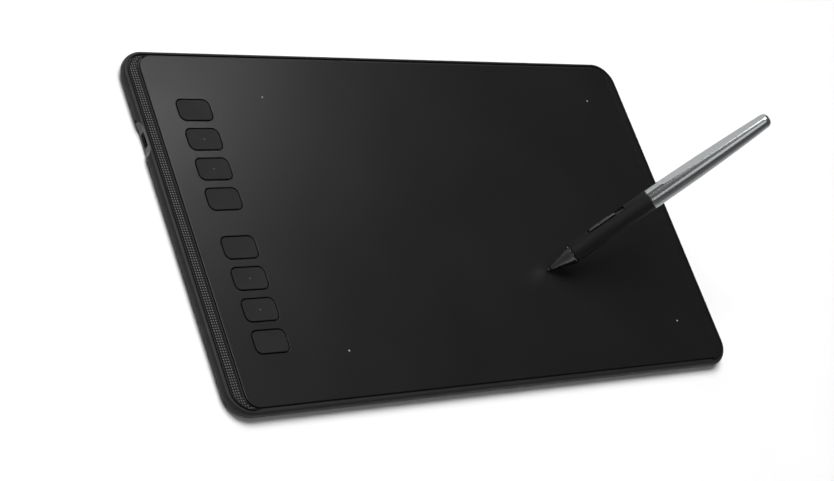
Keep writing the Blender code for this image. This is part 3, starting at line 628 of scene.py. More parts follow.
def screw_hole(centre):
    """Cutter for a foot's pocket, the screw head's recess and the clearance hole, all stepped."""
    pocket = foot_outline(centre, 0.3)
    wide = circle_with(pocket, centre, 2.6)
    narrow = circle_with(pocket, centre, SCREW_RADIUS)
    steps = ((pocket, -1.0), (pocket, 1.0), (wide, 1.0), (wide, 2.05), (narrow, 2.05), (narrow, 3.8))
    return skin(np.array([lifted(outline, z) for outline, z in steps]))


def box_shape(x_span, y_span, z_span):
    """A plain rib as a skin over two rings."""
    (x0, x1), (y0, y1) = x_span, y_span
    outline = np.array([(x1, y0), (x1, y1), (x0, y1), (x0, y0)], float)
    return skin(np.array([lifted(outline, z) for z in z_span]))


def ribs():
    """Stiffening ribs on the case's floor, crosswise and lengthwise, and a boss round each screw."""
    half, foot = 0.6, 1.4
    crosswise, lengthwise = (-110, -45, 20, 85, 150), (-60, 0, 60)
    shapes = [box_shape((x - half, x + half), (-82, 82), (foot, 4.5)) for x in crosswise]
    shapes += [box_shape((-116, 156), (y - half, y + half), (foot, 4.3)) for y in lengthwise]
    for centre in screw_places():
        ring = circle_with(foot_outline(centre), centre, 3.6)
        hole = circle_with(foot_outline(centre), centre, SCREW_RADIUS)
        levels = ((ring, foot), (ring, 2.8), (hole, 2.8), (hole, foot))
        shapes.append(skin(np.array([lifted(o, z) for o, z in levels]), over=True))
    return shapes


def finish_inlet(case, painted_light_scoop_finish, slot_shade_finish):
    """Give the scoop's faces a smoother finish made lighter as painted light, and the slot's inner walls
    a black one as painted shade.
    """
    case.data.materials.append(painted_light_scoop_finish)
    case.data.materials.append(slot_shade_finish)
    polygons = case.data.polygons
    centres, normals = np.empty((2, len(polygons), 3), np.float32)
    polygons.foreach_get("center", centres.ravel())
    polygons.foreach_get("normal", normals.ravel())
    x, y, z = centres.T / MM
    inlet_y, inlet_z = inlet_place()
    away = np.abs(y - inlet_y)
    pressed = (x > SCOOP_START + 0.15) & (x < SCOOP_START + SCOOP_DEPTH + 0.05)
    # Faces of the scoop, which take the lighter finish: painted light.
    scoop = pressed & (away < SCOOP_FLAT + SCOOP_SLANT) & (np.abs(normals[:, 2]) < 0.3)
    # Inner walls of the slot, which take the near-black finish: painted shade.
    walls = (x > -178.66) & (x < -175.0) & (away < 4.5) & (np.abs(z - inlet_z) < 1.9)
    polygons.foreach_set("material_index", np.where(scoop, 1, np.where(walls, 2, 0)).astype(np.int32))


def make_case(finish, painted_light_scoop_finish, slot_shade_finish):
    """The tray-shaped shell: the profile carried round the outline, its scoop, openings and ribs."""
    beside_inlet = np.arange(65.6, 38.0, -0.4)
    left_edge = np.concatenate([np.linspace(88, 67, 6), beside_inlet, np.linspace(36, -88, 14)])
    rings = np.array([lifted(case_outline(inset, left_edge), z) for inset, z in case_profile()])
    case = add_piece("case_shell", skin(scooped(rings)), finish, "tablet", ["bottom_cover"])
    cut(case, together(side_openings() + [screw_hole(c) for c in screw_places()]))
    finish_inlet(case, painted_light_scoop_finish, slot_shade_finish)
    add_piece("case_ribs", together(ribs()), finish, "tablet")


def make_feet(finish):
    """Six rubber feet, each a bar with a domed and slightly rounded underside."""
    for number, centre in enumerate(screw_places(), 1):
        levels = [(-0.9, 0.0), (-0.45, 0.02), (-0.2, 0.08), (-0.05, 0.2), (0.0, 0.35), (0.0, 0.75)]
        rings = np.array([lifted(foot_outline(centre, grow), z) for grow, z in levels])
        add_piece(f"foot_{number}", skin(rings), finish, "tablet", [f"rubber_foot_{number}"])


def key_centres():
    """Centres of the express keys, from the top edge down."""
    boxes = [node_box(f"express_key_{n}") for n in range(1, KEY_COUNT + 1)]
    return [((low + high) / 2)[:2] for low, high in boxes]


def key_outline(centre, grow=0.0):
    """Outline of a key cap round its centre, or of its window when grown."""
    radius = bpy.context.scene.tablet_sizes.key_radius / MM
    (x, y), (half_x, half_y) = centre, KEY_HALF
    x_span = (x - half_x - grow, x + half_x + grow)
    return rounded(x_span, (y - half_y - grow, y + half_y + grow), radius + grow, 14)


def panel_rings():
    """Rings of the panel's outside, from its raised underside out to its edge and over the face."""
    sizes = bpy.context.scene.tablet_sizes
    low, high = node_box("drawing_panel")
    corner, edge = sizes.panel_corner / MM, sizes.edge_round / MM

    def outline(inset):
        x_span = (low[0] + inset, high[0] - inset)
        y_span = (low[1] + inset, high[1] - inset)
        return rounded(x_span, y_span, corner - inset, 24)

    step = rounded((-162.6, 159.6), (-88.6, 88.6), 3.6, 24)
    rings = [lifted(step, FACE_BACK), lifted(step, LEDGE), lifted(outline(0.0), LEDGE)]
    for inset, z in flared((0.0, high[2] - edge), (edge, high[2])):
        rings.append(lifted(outline(inset), z))
    rings.append(lifted(outline(edge + 0.25), high[2]))
    return np.array(rings), high[2]


def window_rings(centre, top):
    """Rings of one key window, from the face's level down through the panel, facing into the hole."""
    edge = 0.16
    levels = [(WINDOW_GROW + edge + 0.2, top)]
    levels += [(WINDOW_GROW + inset, z) for inset, z in flared((0.0, top - edge), (edge, top))[::-1]]
    levels.append((WINDOW_GROW, FACE_BACK))
    return np.array([lifted(key_outline(centre, grow), z) for grow, z in levels])


def make_panel(finish):
    """The drawing face: rounded edge, eight windows, and flat sheets between them above and below."""
    outside, top = panel_rings()
    windows = [window_rings(centre, top) for centre in key_centres()]
    walls = [outside] + windows
    starts = np.cumsum([0] + [w.shape[0] * w.shape[1] for w in walls])
    points = np.concatenate([w.reshape(-1, 3) for w in walls])
    faces = [skin(wall)[1][0] + start for wall, start in zip(walls, starts)]
    upper = [len(outside) - 1] + [0] * len(windows)
    lower = [0] + [len(window) - 1 for window in windows]
    for rows, up in ((upper, True), (lower, False)):
        loops = [wall[row] for wall, row in zip(walls, rows)]
        numbers = [s + r * len(loop) + np.arange(len(loop)) for s, r, loop in zip(starts, rows, loops)]
        triangles = np.concatenate(numbers)[filled([loop[:, :2] for loop in loops])]
        faces.append(triangles if up else triangles[:, ::-1])
    add_piece("drawing_face", (points, faces), finish, "tablet", ["drawing_panel"])


def small_cap(centre, levels):
    """A small round cap: a circle round the centre at each (radius, height)."""
    outline = rounded((-1, 1), (-1, 1), 0.99, 6)
    return skin(np.array([lifted(circle_with(outline, centre, radius), z) for radius, z in levels]))


def make_marks(finish):
    """Four low printed dots at the corners of the working area: each a cap of 1 - radius squared."""
    levels = [(0.5, 7.95), (0.5, 8.0), (0.45, 8.02), (0.3, 8.035), (0.1, 8.04)]
    places = [np.array((x, y)) for y in (77.0, -75.8) for x in (-98.3, 148.0)]
    shapes = [small_cap(centre, levels) for centre in places]
    add_piece("corner_marks", together(shapes), finish, "tablet")


def crescent(side, inner_x, along):
    """Outer and inner edge of a side insert, matched point for point from top tip to bottom tip.

    Each edge is a quarter turn, a straight run and a quarter turn back, its corners centred where its
    radius reaches both the edge's X and its Y.
    """
    t = np.linspace(math.pi / 2, 0, 40)
    straight = np.linspace(1, -1, along)[1:-1]
    edges = []
    for x, y, radius in ((177.2, 102.4, 11.5), (abs(inner_x), 101.9, 7.6)):
        top = np.stack([x - radius + radius * np.cos(t), y - radius + radius * np.sin(t)], -1)
        run = np.stack([np.full(len(straight), x), (y - radius) * straight], -1)
        edge = np.concatenate([top, run, top[::-1] * (1, -1)])
        edges.append(edge * (side, 1))
    return edges


def thread_relief(x, y, pitch):
    """Relief of a plain weave laid at 45 degrees, from 0 in the gaps to 1 on the crowns.

    With p and q across and along the threads in units of the pitch, the sign of sin p sin q says which
    thread is on top; its height is a rounded back across it times a flatter hump along it.
    """
    p = (x + y) / math.sqrt(2) * math.pi / pitch
    q = (x - y) / math.sqrt(2) * math.pi / pitch
    a, b = np.abs(np.sin(p)), np.abs(np.sin(q))
    rising = np.sin(p) * np.sin(q) < 0
    height = np.where(rising, np.sqrt(b) * (0.4 + 0.6 * a), np.sqrt(a) * (0.4 + 0.6 * b))
    return height, rising


def make_woven_strip(finish):
    """The woven insert: a smooth raised edge, a band of real threads and a second raised edge."""
    sizes = bpy.context.scene.tablet_sizes
    outer, inner = crescent(-1, -170.4, 1150)
    ridge = np.array([0, 0.0, 0.01, 0.03, 0.05, 0.07, 0.085, 0.095, 0.12, 0.145])
    height = np.array([LEDGE, 7.66, 7.76, 7.8, 7.8, 7.77, 7.66, 7.3, 7.22, 7.22])
    middle = np.linspace(0.155, 0.845, 34)
    across = np.concatenate([ridge, middle, 1 - ridge[::-1]])
    base = np.concatenate([height, np.full(len(middle), 7.26), height[::-1]])
    spots = outer[:, None] + (inner - outer)[:, None] * across[None, :, None]
    relief, rising = thread_relief(spots[..., 0], spots[..., 1], sizes.thread / MM)
    band = (across > 0.15) & (across < 0.85)
    z = base + np.where(band, relief * sizes.thread_depth / MM, 0.0)
    rings = np.concatenate([spots, z[..., None]], -1)
    strip = add_piece("woven_band", skin(rings), finish, "tablet", ["woven_strip"], 60.0)
    # Relief values for the colour, painted light and shade: full on threads on top, less on threads
    # passing under, some on the raised edges, none in the gaps.
    weave_light_and_shade = relief * np.where(rising, 1.0, 0.3)
    values = np.where(band, weave_light_and_shade, np.where(base > 7.6, 0.4, 0.0)).astype(np.float32)
    marks = strip.data.attributes.new("relief", "FLOAT", "POINT")
    marks.data.foreach_set("value", values.ravel())


def make_plain_strip(finish):
    """The plain insert at the other end: a flat band whose long edges are rounded over."""
    outer, inner = crescent(1, 173.1, 3)
    across = np.array([0, 0.0, 0.01, 0.03, 0.07, 0.93, 0.97, 0.99, 1.0, 1.0])
    height = np.array([LEDGE, 7.4, 7.52, 7.58, 7.6, 7.6, 7.58, 7.52, 7.4, LEDGE])
    spots = outer[:, None] + (inner - outer)[:, None] * across[None, :, None]
    z = np.broadcast_to(height, spots.shape[:2])
    rings = np.concatenate([spots, z[..., None]], -1)[:, ::-1]
    add_piece("plain_band", skin(rings), finish, "tablet", ["plain_side_strip"])


def key_shape(centre):
    """One key: stem, flange, upright side, rounded edge and a top that dishes towards its middle.

    The top's height falls by the dish times 1 minus the squared share of the way to the edge.
    """
    sizes = bpy.context.scene.tablet_sizes
    edge, dish = sizes.edge_round / MM, sizes.key_dish / MM
    outline = key_outline(centre, -KEY_GAP)
    stem = circle_with(outline, centre, 1.3)
    flange = key_outline(centre, 0.9)
    steps = ((stem, 4.0), (stem, 5.5), (flange, 5.5), (flange, 6.2), (outline, 6.2))
    rings = [lifted(ring, z) for ring, z in steps]
    rounding = flared((KEY_GAP, KEY_TOP - edge), (KEY_GAP + edge, KEY_TOP))
    rings += [lifted(key_outline(centre, -inset), z) for inset, z in rounding]
    rim = key_outline(centre, -KEY_GAP - edge) - centre
    for part in (0.97, 0.9, 0.8, 0.68, 0.55, 0.42, 0.3, 0.2, 0.1, 0.04, 0.01):
        rings.append(lifted(rim * part + centre, KEY_TOP - dish * (1 - part**2)))
    return skin(np.array(rings))


def touch_dot(centre):
    """The raised dot in the middle of a key: its height falls with the squared share of its radius."""
    radius = bpy.context.scene.tablet_sizes.dot / MM
    shares = (1.0, 0.93, 0.82, 0.68, 0.5, 0.3, 0.1)
    dome = [(radius * part, 8.05 + 0.3 * (1 - part**2)) for part in shares]
    return small_cap(centre, [(radius, 7.9)] + dome)


def make_keys(finish, dot_highlight_finish):
    """The eight express keys, four of them with a raised touch dot in a lighter plastic that is a
    painted highlight.
    """
    for number, centre in enumerate(key_centres(), 1):
        body, node = f"key_{number}", f"express_key_{number}"
        add_piece(f"key_cap_{number}", key_shape(centre), finish, body, [node])
        if number in DOTTED_KEYS:
            add_piece(f"touch_dot_{number}", touch_dot(centre), dot_highlight_finish, body)


# ---------------------------------------------------------------- the pen's shapes


def on_pen(rings):
    """Rings drawn in the pen's own frame, put in their place on the drawing face."""
    matrix = np.array(pen_frame())
    return rings @ matrix[:3, :3].T + matrix[:3, 3]


def turned(profile, steps=96):
    """Rings of a turned body: each (radius, height) of the profile carried round the pen's axis."""
    profile = np.array(profile)
    angles = np.linspace(0, 2 * math.pi, steps, endpoint=False)
    around = np.stack([np.cos(angles), np.sin(angles)], -1)
    flat = profile[:, None, :1] * around[None]
    return np.concatenate([flat, np.broadcast_to(profile[:, None, 1:], (len(profile), steps, 1))], -1)


def make_nib(finish):
    """The nib: a ball tip that runs into a short taper and a straight stem."""
    t = np.linspace(0.12, math.radians(66), 8)
    ball = np.stack([0.55 * np.sin(t), 0.55 * (1 - np.cos(t))], -1)
    profile = np.concatenate([ball, [(0.85, 1.7), (0.85, 14.0)]])
    add_piece("nib_point", skin(on_pen(turned(profile, 32))), finish, "nib", ["pen_nib"])


def make_cone(finish):
    """The nose cone: a straight flank, a rounded shoulder into the grip, and a hollow for the nib."""
    mouth = [(1.15, 2.5), (1.25, 2.4), (1.45, 2.42), (1.56, 2.55)]
    shoulder = [(5.93, 16.2), (6.1, 16.6), (6.22, 16.95), (6.28, 17.25), (6.24, 17.48), (6.05, 17.6)]
    flank = np.linspace(mouth[-1], shoulder[0], 12)[1:-1]
    inside = [(5.0, 17.6), (5.0, 22.5), (4.4, 22.5), (4.4, 17.0), (3.4, 11.0), (2.2, 10.2), (1.15, 6.0)]
    rings = on_pen(turned(np.concatenate([mouth, flank, shoulder, inside])))
    add_piece("nose_cone", skin(rings, over=True), finish, "pen", ["pen_nose_cone"])


def button_slot():
    """Cutter for the slot in the grip, a long bar with small round corners and a softened mouth."""
    rings = []
    for x, grow in ((3.0, 0.0), (5.8, 0.0), (6.2, 0.06), (9.0, 0.06)):
        span = (SLOT_SPAN[0] - grow, SLOT_SPAN[1] + grow)
        outline = rounded((-2.5 - grow, 2.5 + grow), span, 0.7 + grow, 6)
        rings.append(np.column_stack([np.full(len(outline), x), outline]))
    return skin(on_pen(np.array(rings)))


def make_grip(finish):
    """The soft sleeve: nearly straight, drawn in by a tenth of a millimetre at its waist.

    What is drawn in goes with the squared sine of the share of the way along.
    """
    radius = bpy.context.scene.pen_sizes.grip / MM
    z = np.linspace(18.6, 71.2, 60)
    waist = radius - 0.1 * np.sin((z - z[0]) / (z[-1] - z[0]) * math.pi) ** 2
    outside = np.stack([waist, z], -1)
    front = [(5.3, 17.9), (radius - 0.4, 17.9), (radius - 0.15, 18.02), (radius - 0.03, 18.3)]
    back = [(radius - 0.03, 71.5), (radius - 0.15, 71.66), (5.3, 71.7)]
    rings = on_pen(turned(np.concatenate([front, outside, back]), 128))
    grip = add_piece("grip_sleeve", skin(rings, over=True), finish, "pen", ["pen_grip"])
    cut(grip, button_slot())


def button_rings(z, half, top, floor, crown):
    """Sections of a part of the side button along the pen's axis.

    Half width, top and floor are given at each height z. Each section is crowned: its top falls away
    by the crown times the squared share of the way to its edge, and by as much again close to it.
    """
    part = np.sin(np.linspace(-math.pi / 2, math.pi / 2, 17))
    drop = crown * (part**2 + part**10)
    x = np.concatenate([floor[:, None], top[:, None] - drop, floor[:, None]], 1)
    y = half[:, None] * np.concatenate([[-1.0], part, [1.0]])
    return np.stack([x, y, np.broadcast_to(z[:, None], x.shape)], -1)


# Each row is a place along the pen's axis and what the side button's pad measures there.
PAD_TOPS = [(32.4, 5.0), (32.6, 5.6), (33.0, 6.0), (34.0, 6.25)]
PAD_TOPS += [(36.0, 6.4), (45.0, 6.36), (49.0, 6.2), (51.2, 5.8)]
PAD_FLOORS = [(32.4, 4.2), (34.7, 3.7), (35.4, 2.6), (37.6, 2.6)]
PAD_FLOORS += [(39.0, 2.9), (44.4, 2.9), (45.2, 5.3), (51.2, 5.3)]
PAD_HALVES = [(32.4, 1.2), (32.7, 1.45), (33.4, 1.62), (40.0, 1.6)]
PAD_HALVES += [(45.4, 1.4), (50.6, 0.7), (51.2, 0.3)]
PAD_NOTCH = 39.8  # place of the notch across the pad


def make_button_pad(finish, wall_shade_finish):
    """The tipping side button's pad, which narrows to a point behind.

    Measures along the axis are joined by straight lines, and the notch is a bell curve. The side walls
    and the underside take the near-black wall finish, which is painted shade on them.
    """
    z = np.linspace(32.4, 51.2, 95)
    top, floor, half = (np.interp(z, *np.array(row).T) for row in (PAD_TOPS, PAD_FLOORS, PAD_HALVES))
    top -= 0.25 * np.exp(-(((z - PAD_NOTCH) / 0.35) ** 2))
    pad = button_rings(z, half, top, floor, 0.2)
    shape = skin(on_pen(pad))
    piece = add_piece("button_pad", shape, finish, "side_button", ["pen_side_button"])
    piece.data.materials.append(wall_shade_finish)
    rows, around = len(pad) - 1, pad.shape[1]
    marks = np.zeros(len(piece.data.polygons), np.int32)
    # The pad's side walls and underside take the near-black finish: painted shade.
    marks[: rows * around].reshape(rows, around)[:, [0, -2, -1]] = 1
    piece.data.polygons.foreach_set("material_index", marks)


def make_button_tail(finish):
    """The tail behind and under the pad: a low bar that falls away along straight lines."""
    z = np.linspace(45.3, 56.6, 24)
    top = np.interp(z, (45.3, 52.0, 56.6), (5.22, 5.1, 4.7))
    floor = np.interp(z, (45.3, 47.6, 48.3, 56.6), (2.6, 2.6, 3.7, 3.9))
    tail = button_rings(z, np.full(len(z), 2.0), top, floor, 0.1)
    add_piece("button_tail", skin(on_pen(tail)), finish, "side_button")


def barrel_radius(z):
    """Radius of the barrel's wall: even, then falling with the square of the distance past 88 mm."""
    return bpy.context.scene.pen_sizes.barrel / MM - 1.75 * np.clip((z - 88.0) / 63.5, 0, None) ** 2


def facet_depth(z):
    """Distance of the facet from the axis: a straight taper, reached through a scooped lead-in."""
    front = bpy.context.scene.pen_sizes.facet / MM
    taper = front - 2.05 * (z - 81.0) / 74.5
    return taper + 1.9 * np.clip(1 - (z - 79.9) / 4.6, 0, None) ** 2


def barrel_stations():
    """Heights and radii of the barrel's outer rings, from its collar to the rounded tail.

    The tail is a superellipse: with t in a quarter turn, height goes with sin t and radius with cos t,
    both to the power 0.77.
    """
    power = 0.77
    end = bpy.context.scene.pen_sizes.reach / MM
    spans = ((72.5, 78.6, 6), (79.0, 84.5, 30), (85.5, 150.5, 60))
    z = np.concatenate([np.linspace(*span) for span in spans])
    t = np.linspace(0, math.pi / 2, 22)[1:-1]
    tail_z = TAIL_START + (end - TAIL_START) * np.sin(t) ** power
    tail_r = barrel_radius(TAIL_START) * np.cos(t) ** power
    collar = [(5.95, 72.0), (6.08, 72.08), (6.14, 72.25)]
    body = np.stack([barrel_radius(z), z], -1)
    return np.concatenate([collar, body, np.stack([tail_r, tail_z], -1)])


def faceted(stations):
    """Rings of the barrel with its facet: round, but cut back to the facet wherever that is nearer.

    The facet's points are spread over its own width, so that its two long edges stay crisp, and it is
    very slightly dished.
    """
    radius, z = stations[:, 0], stations[:, 1]
    depth = facet_depth(z)
    half = np.maximum(np.arccos(np.clip(depth / radius, -1, 1)), 0.14)
    spread = np.sin(np.linspace(-math.pi / 2, math.pi / 2, 33))
    y = radius[:, None] * np.sin(half)[:, None] * spread
    round_x = np.sqrt(np.maximum(radius[:, None] ** 2 - y**2, 0))
    width = np.maximum(y[:, -1:], 0.4)
    dish = 0.03 * np.clip(1 - (y / width) ** 2, 0, 1)
    live = np.clip((round_x.max(1) - depth) / 0.4, 0, 1)[:, None]
    x = np.minimum(round_x, depth[:, None] - dish * live)
    rest = np.linspace(0, 1, 98)[1:-1]
    angle = half[:, None] + (2 * math.pi - 2 * half[:, None]) * rest
    x = np.concatenate([x, radius[:, None] * np.cos(angle)], 1)
    y = np.concatenate([y, radius[:, None] * np.sin(angle)], 1)
    return np.stack([x, y, np.broadcast_to(z[:, None], x.shape)], -1)


def make_barrel(finish):
    """The metallic barrel: hollow neck, collar, long facet and rounded tail."""
    outside = faceted(barrel_stations())
    bore = [(0.6, 150.0), (2.4, 149.0), (3.6, 112.0), (4.0, 84.0), (4.0, NECK_START)]
    neck = [(5.0, NECK_START), (5.0, 72.0)]
    inside = turned(bore + neck, outside.shape[1])
    rings = on_pen(np.concatenate([inside, outside]))
    add_piece("barrel_shell", skin(rings), finish, "pen", ["pen_barrel"])


# ---------------------------------------------------------------- operators


class TabletOperator(bpy.types.Operator):
    """What every step of the tablet shares."""

    bl_options = {"REGISTER", "UNDO"}

    @classmethod
    def poll(cls, context):
        return context.scene is not None


class MakeStudio(TabletOperator):
    """Lay the pale floor, hang the soft boxes and set up the camera"""

    bl_idname = "tablet.make_studio"
    bl_label = "Studio"

    def execute(self, context):
        studio = context.scene.tablet_studio
        context.scene.view_settings.view_transform = "Standard"
        lay_floor(studio.floor)
        light_surroundings(studio.horizon, studio.zenith)
        soft_box("main_light", (-0.59, 1.09, 2.95), (0, 0, 0), (2.0, 2.0), studio.main_light)
        soft_box("sheen_light", (0.113, 0.331, 0.449), (-0.15, 0.1, 0), (0.1, 0.1), studio.sheen_light)
        soft_box("side_light", (-0.325, -0.778, 1.401), (0.13, 0, 0.08), (0.72, 0.7), studio.side_light)
        soft_box("back_light", (-0.326, 1.395, 0.341), (0.13, 0, 0.08), (0.75, 0.5), studio.back_light)
        set_camera()
        return {"FINISHED"}


class MakeCase(TabletOperator):
    """Make the case's shell with its ribs, and its six rubber feet"""

    bl_idname = "tablet.make_case"
    bl_label = "Case and feet"

    def execute(self, context):
        colours = context.scene.tablet_colours
        case = moulded("case_plastic", colours.case, 0.62, Specular_IOR_Level=0.3)
        # The scoop's plastic is the case's made much lighter: painted light.
        scoop = moulded("scoop_plastic_painted_light", colours.scoop, 0.4, 0.3, 0.005)
        # The slot's plastic is near black: painted shade inside the slot.
        slot = moulded("slot_painted_shade", colours.slot, 0.7, 0.3, 0.005, Specular_IOR_Level=0.1)
        make_case(case, scoop, slot)
        make_feet(rubber("foot_rubber", colours.foot))
        return {"FINISHED"}


class MakePanel(TabletOperator):
    """Make the drawing panel and the printed marks at its working corners"""

    bl_idname = "tablet.make_panel"
    bl_label = "Drawing panel"

    def execute(self, context):
        colours = context.scene.tablet_colours
        make_panel(film("panel_film", colours.panel, 0.39))
        make_marks(moulded("mark_ink", colours.marks, 0.6, 0.2, 0.005))
        return {"FINISHED"}


class MakeStrips(TabletOperator):
    """Make the woven strip and the plain strip beside the panel"""

    bl_idname = "tablet.make_strips"
    bl_label = "Side strips"

    def execute(self, context):
        colours = context.scene.tablet_colours
        make_woven_strip(woven("woven_thread_light_and_shade", colours.weave))
        plain = moulded("strip_plastic", times(colours.case, 0.5), 0.6, Specular_IOR_Level=0.15)
        make_plain_strip(plain)
        return {"FINISHED"}


class MakeKeys(TabletOperator):
    """Make the eight express keys"""

    bl_idname = "tablet.make_keys"
    bl_label = "Express keys"

    def execute(self, context):
        colours = context.scene.tablet_colours
        cap = moulded("key_plastic", colours.keys, 0.6, 0.3, 0.012, Specular_IOR_Level=0.1)
        # The dots' lighter plastic is a painted highlight.
        make_keys(cap, moulded("dot_plastic_painted_highlight", colours.dots, 0.35, 0.2, 0.004))
        return {"FINISHED"}


class MakePenFront(TabletOperator):
    """Make the pen's nib, nose cone, soft grip and side button"""

    bl_idname = "tablet.make_pen_front"
    bl_label = "Pen nib, grip and button"

    def execute(self, context):
        colours = context.scene.tablet_colours
        make_nib(moulded("nib_plastic", colours.nib, 0.45, 0.1, 0.004))
        make_cone(lacquered("cone_lacquer", colours.cone, 0.22, 0.96))
        make_grip(soft_touch("grip_coat", colours.grip))
        pad = moulded("button_plastic", colours.button, 0.42, 0.2, 0.008)
        # Near-black gloss for the tail, also used as painted shade on the pad's side walls.
        tail = moulded("button_gloss_and_wall_shade", colours.tail, 0.35, 0.2, 0.002, Specular_IOR_Level=0.15)
        make_button_pad(pad, tail)
        make_button_tail(tail)
        return {"FINISHED"}


class MakeBarrel(TabletOperator):
    """Make the pen's metallic barrel with its facet"""

    bl_idname = "tablet.make_barrel"
    bl_label = "Pen barrel"

    def execute(self, context):
        make_barrel(lacquered("barrel_lacquer", context.scene.tablet_colours.barrel, 0.2, 0.82))
        return {"FINISHED"}


class FinishInside(TabletOperator):
    """Give every piece that the frame keeps its finish: boards, switches, screws, socket, pen core"""

    bl_idname = "tablet.finish_inside"
    bl_label = "Inner pieces"

    def execute(self, context):
        finishes = inner_finishes(context.scene.tablet_colours.case)
        for name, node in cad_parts.items():
            if node.hide_render:
                continue
            kind = name.rstrip("0123456789").rstrip("_")
            if kind not in finishes:
                raise RuntimeError(f"no finish is given for {name}")
            for slot in node.material_slots:
                slot.material = finishes[kind]
        return {"FINISHED"}


STEPS = (MakeStudio, MakeCase, MakePanel, MakeStrips, MakeKeys, MakePenFront, MakeBarrel, FinishInside)


def inner_finishes(case):
    """Finish of each kind of piece that keeps its frame shape, by the name of its node."""
    steel = plated("zinc_steel", (0.55, 0.55, 0.56), 0.32)
    # The socket's nickel is darkened far below bright nickel: painted shade inside the slot.
    shaded_nickel = plated("nickel_shell_painted_shade", (0.09, 0.088, 0.085), 0.35, (0.05, 1, 1))
    board = circuit("board_mask", (0.006, 0.045, 0.02), 1.1)
    resin = epoxy("chip_resin", (0.012, 0.012, 0.013))
    switch = epoxy("switch_body", (0.02, 0.02, 0.021))
    nylon = moulded("connector_nylon", (0.42, 0.39, 0.32), 0.5, 0.3, 0.01)
    return {
        "inner_frame": moulded("frame_plastic", times(case, 0.8), 0.5),
        "cover_screw": steel,
        "rocker_pin": steel,
        "nib_holder": steel,
        "shield_sheet": plated("shield_foil", (0.6, 0.6, 0.6), 0.4, (0.03, 1, 1)),
        "usb_socket": shaded_nickel,
        "usb_tongue": ribboned("tongue_contacts", (0.003, 0.003, 0.003), (0.03, 0.024, 0.015), 0.65),
        "control_board": board,
        "pen_circuit_board": board,
        "digitizer_board": circuit("digitizer_mask", (0.005, 0.03, 0.05), 2.4),
        "controller_chip": resin,
        "sensor_chip": resin,
        "pressure_sensor": resin,
        "key_switch": switch,
        "reset_switch": switch,
        "pen_switch_front": switch,
        "pen_switch_rear": switch,
        "reset_plunger": moulded("plunger_nylon", (0.03, 0.03, 0.03), 0.4, 0.15, 0.005),
        "cable_connector": nylon,
        "flat_cable": ribboned("amber_film", (0.36, 0.17, 0.03), (0.55, 0.3, 0.1), 1.0),
        "ferrite_core": epoxy("sintered_core", (0.03, 0.03, 0.032)),
        "antenna_coil": wound("copper_winding_shaded_grooves", (0.65, 0.24, 0.1), 0.18),
    }


class TabletPanel(bpy.types.Panel):
    """Sizes, colours and steps of the tablet, in the sidebar"""

    bl_idname = "VIEW3D_PT_pen_tablet"
    bl_label = "Pen tablet"
    bl_space_type = "VIEW_3D"
    bl_region_type = "UI"
    bl_category = "Tablet"

    def draw(self, context):
        for name in GROUPS:
            group = getattr(context.scene, name)
            box = self.layout.box()
            box.label(text=name.replace("_", " ").capitalize())
            for key in group.bl_rna.properties.keys():
                if key not in ("rna_type", "name"):
                    box.prop(group, key)
        for step in STEPS:
            self.layout.operator(step.bl_idname)


# ---------------------------------------------------------------- the studio


def lay_floor(base):
    """A wide, pale, matt floor with a faint mottle."""
    outline = rounded((-6000, 6000), (-6000, 6000), 2500, 24)
    rings = np.array([lifted(outline, z) for z in (-6.0, -0.05)])
    floor = bpy.data.objects.new("floor", write_mesh("floor", *skin(rings)))
    made, tree, shader, coords = plain_finish("floor_paper", base, 0.95, Specular_IOR_Level=0.0)
    mottle = between(tree, noise(tree, coords, 40.0, 3.0), 0, 1)
    paint(tree, shader, mottle, times(base, 0.985), base)
    floor.data.materials.append(made)
    bpy.context.scene.collection.objects.link(floor)


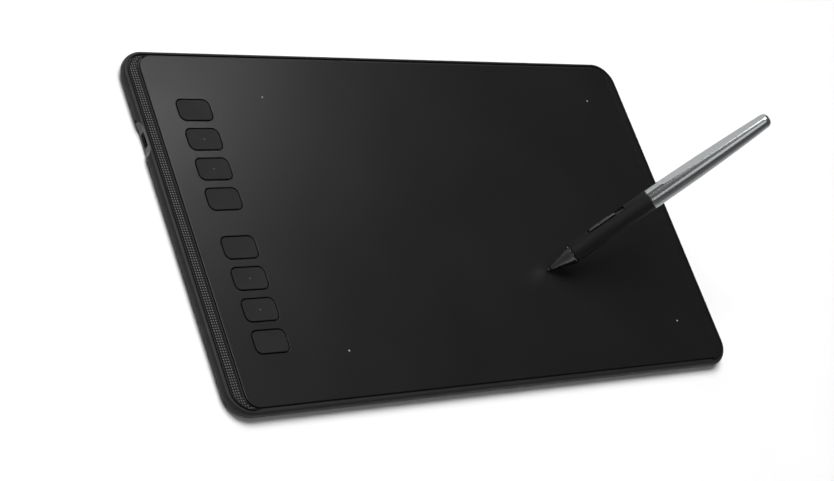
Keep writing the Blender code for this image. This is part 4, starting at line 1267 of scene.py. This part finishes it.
def light_surroundings(horizon, zenith):
    """Soft light from all round: bright near the horizon, falling away overhead."""
    world = bpy.data.worlds.new("studio_light")
    world.use_nodes = True
    tree = world.node_tree
    way = add(tree, "SeparateXYZ", {0: add(tree, "TexCoord", {}).outputs["Generated"]}).outputs[2]
    strength = between(tree, way, horizon, zenith, 0.1, 0.45)
    tree.links.new(strength, tree.nodes["Background"].inputs["Strength"])
    tree.nodes["Background"].inputs["Color"].default_value = (1, 1, 1, 1)
    bpy.context.scene.world = world


def soft_box(name, place, aim, size, power):
    """A soft box of this width and height that points at a spot on the tablet."""
    lamp = bpy.data.lights.new(name, "AREA")
    lamp.energy = power
    lamp.shape = "RECTANGLE"
    lamp.size, lamp.size_y = size
    box = bpy.data.objects.new(name, lamp)
    box.location = place
    box.rotation_euler = (Vector(aim) - Vector(place)).to_track_quat("-Z", "Y").to_euler()
    box.visible_camera = False
    bpy.context.scene.collection.objects.link(box)


CAMERA_PLACE = (-0.7049, -0.3800, 0.7518)
CAMERA_AXES = (
    (0.77338, 0.03689, -0.63286),
    (-0.32169, 0.88306, -0.34164),
    (0.54625, 0.46781, 0.69481),
)
CAMERA_LENS = 83.84  # focal length in millimetres


def set_camera():
    """The camera: high over the left front corner, rolled so that the tablet stands slanted."""
    lens = bpy.data.cameras.new("camera")
    lens.lens = CAMERA_LENS
    lens.clip_start = 0.01
    camera = bpy.data.objects.new("camera", lens)
    camera.matrix_world = Matrix.Translation(CAMERA_PLACE) @ Matrix(CAMERA_AXES).to_4x4()
    bpy.context.scene.collection.objects.link(camera)
    bpy.context.scene.camera = camera


# ---------------------------------------------------------------- registration


def register():
    """Register the properties, steps and panel."""
    for name, group in GROUPS.items():
        bpy.utils.register_class(group)
        setattr(bpy.types.Scene, name, bpy.props.PointerProperty(type=group))
    for step in STEPS:
        bpy.utils.register_class(step)
    bpy.utils.register_class(TabletPanel)


def unregister():
    """Take the properties, steps and panel away again."""
    bpy.utils.unregister_class(TabletPanel)
    for step in reversed(STEPS):
        bpy.utils.unregister_class(step)
    for name, group in GROUPS.items():
        delattr(bpy.types.Scene, name)
        bpy.utils.unregister_class(group)


def main():
    """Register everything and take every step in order."""
    register()
    for step in STEPS:
        family, action = step.bl_idname.split(".")
        getattr(getattr(bpy.ops, family), action)()


if __name__ == "__main__":
    main()
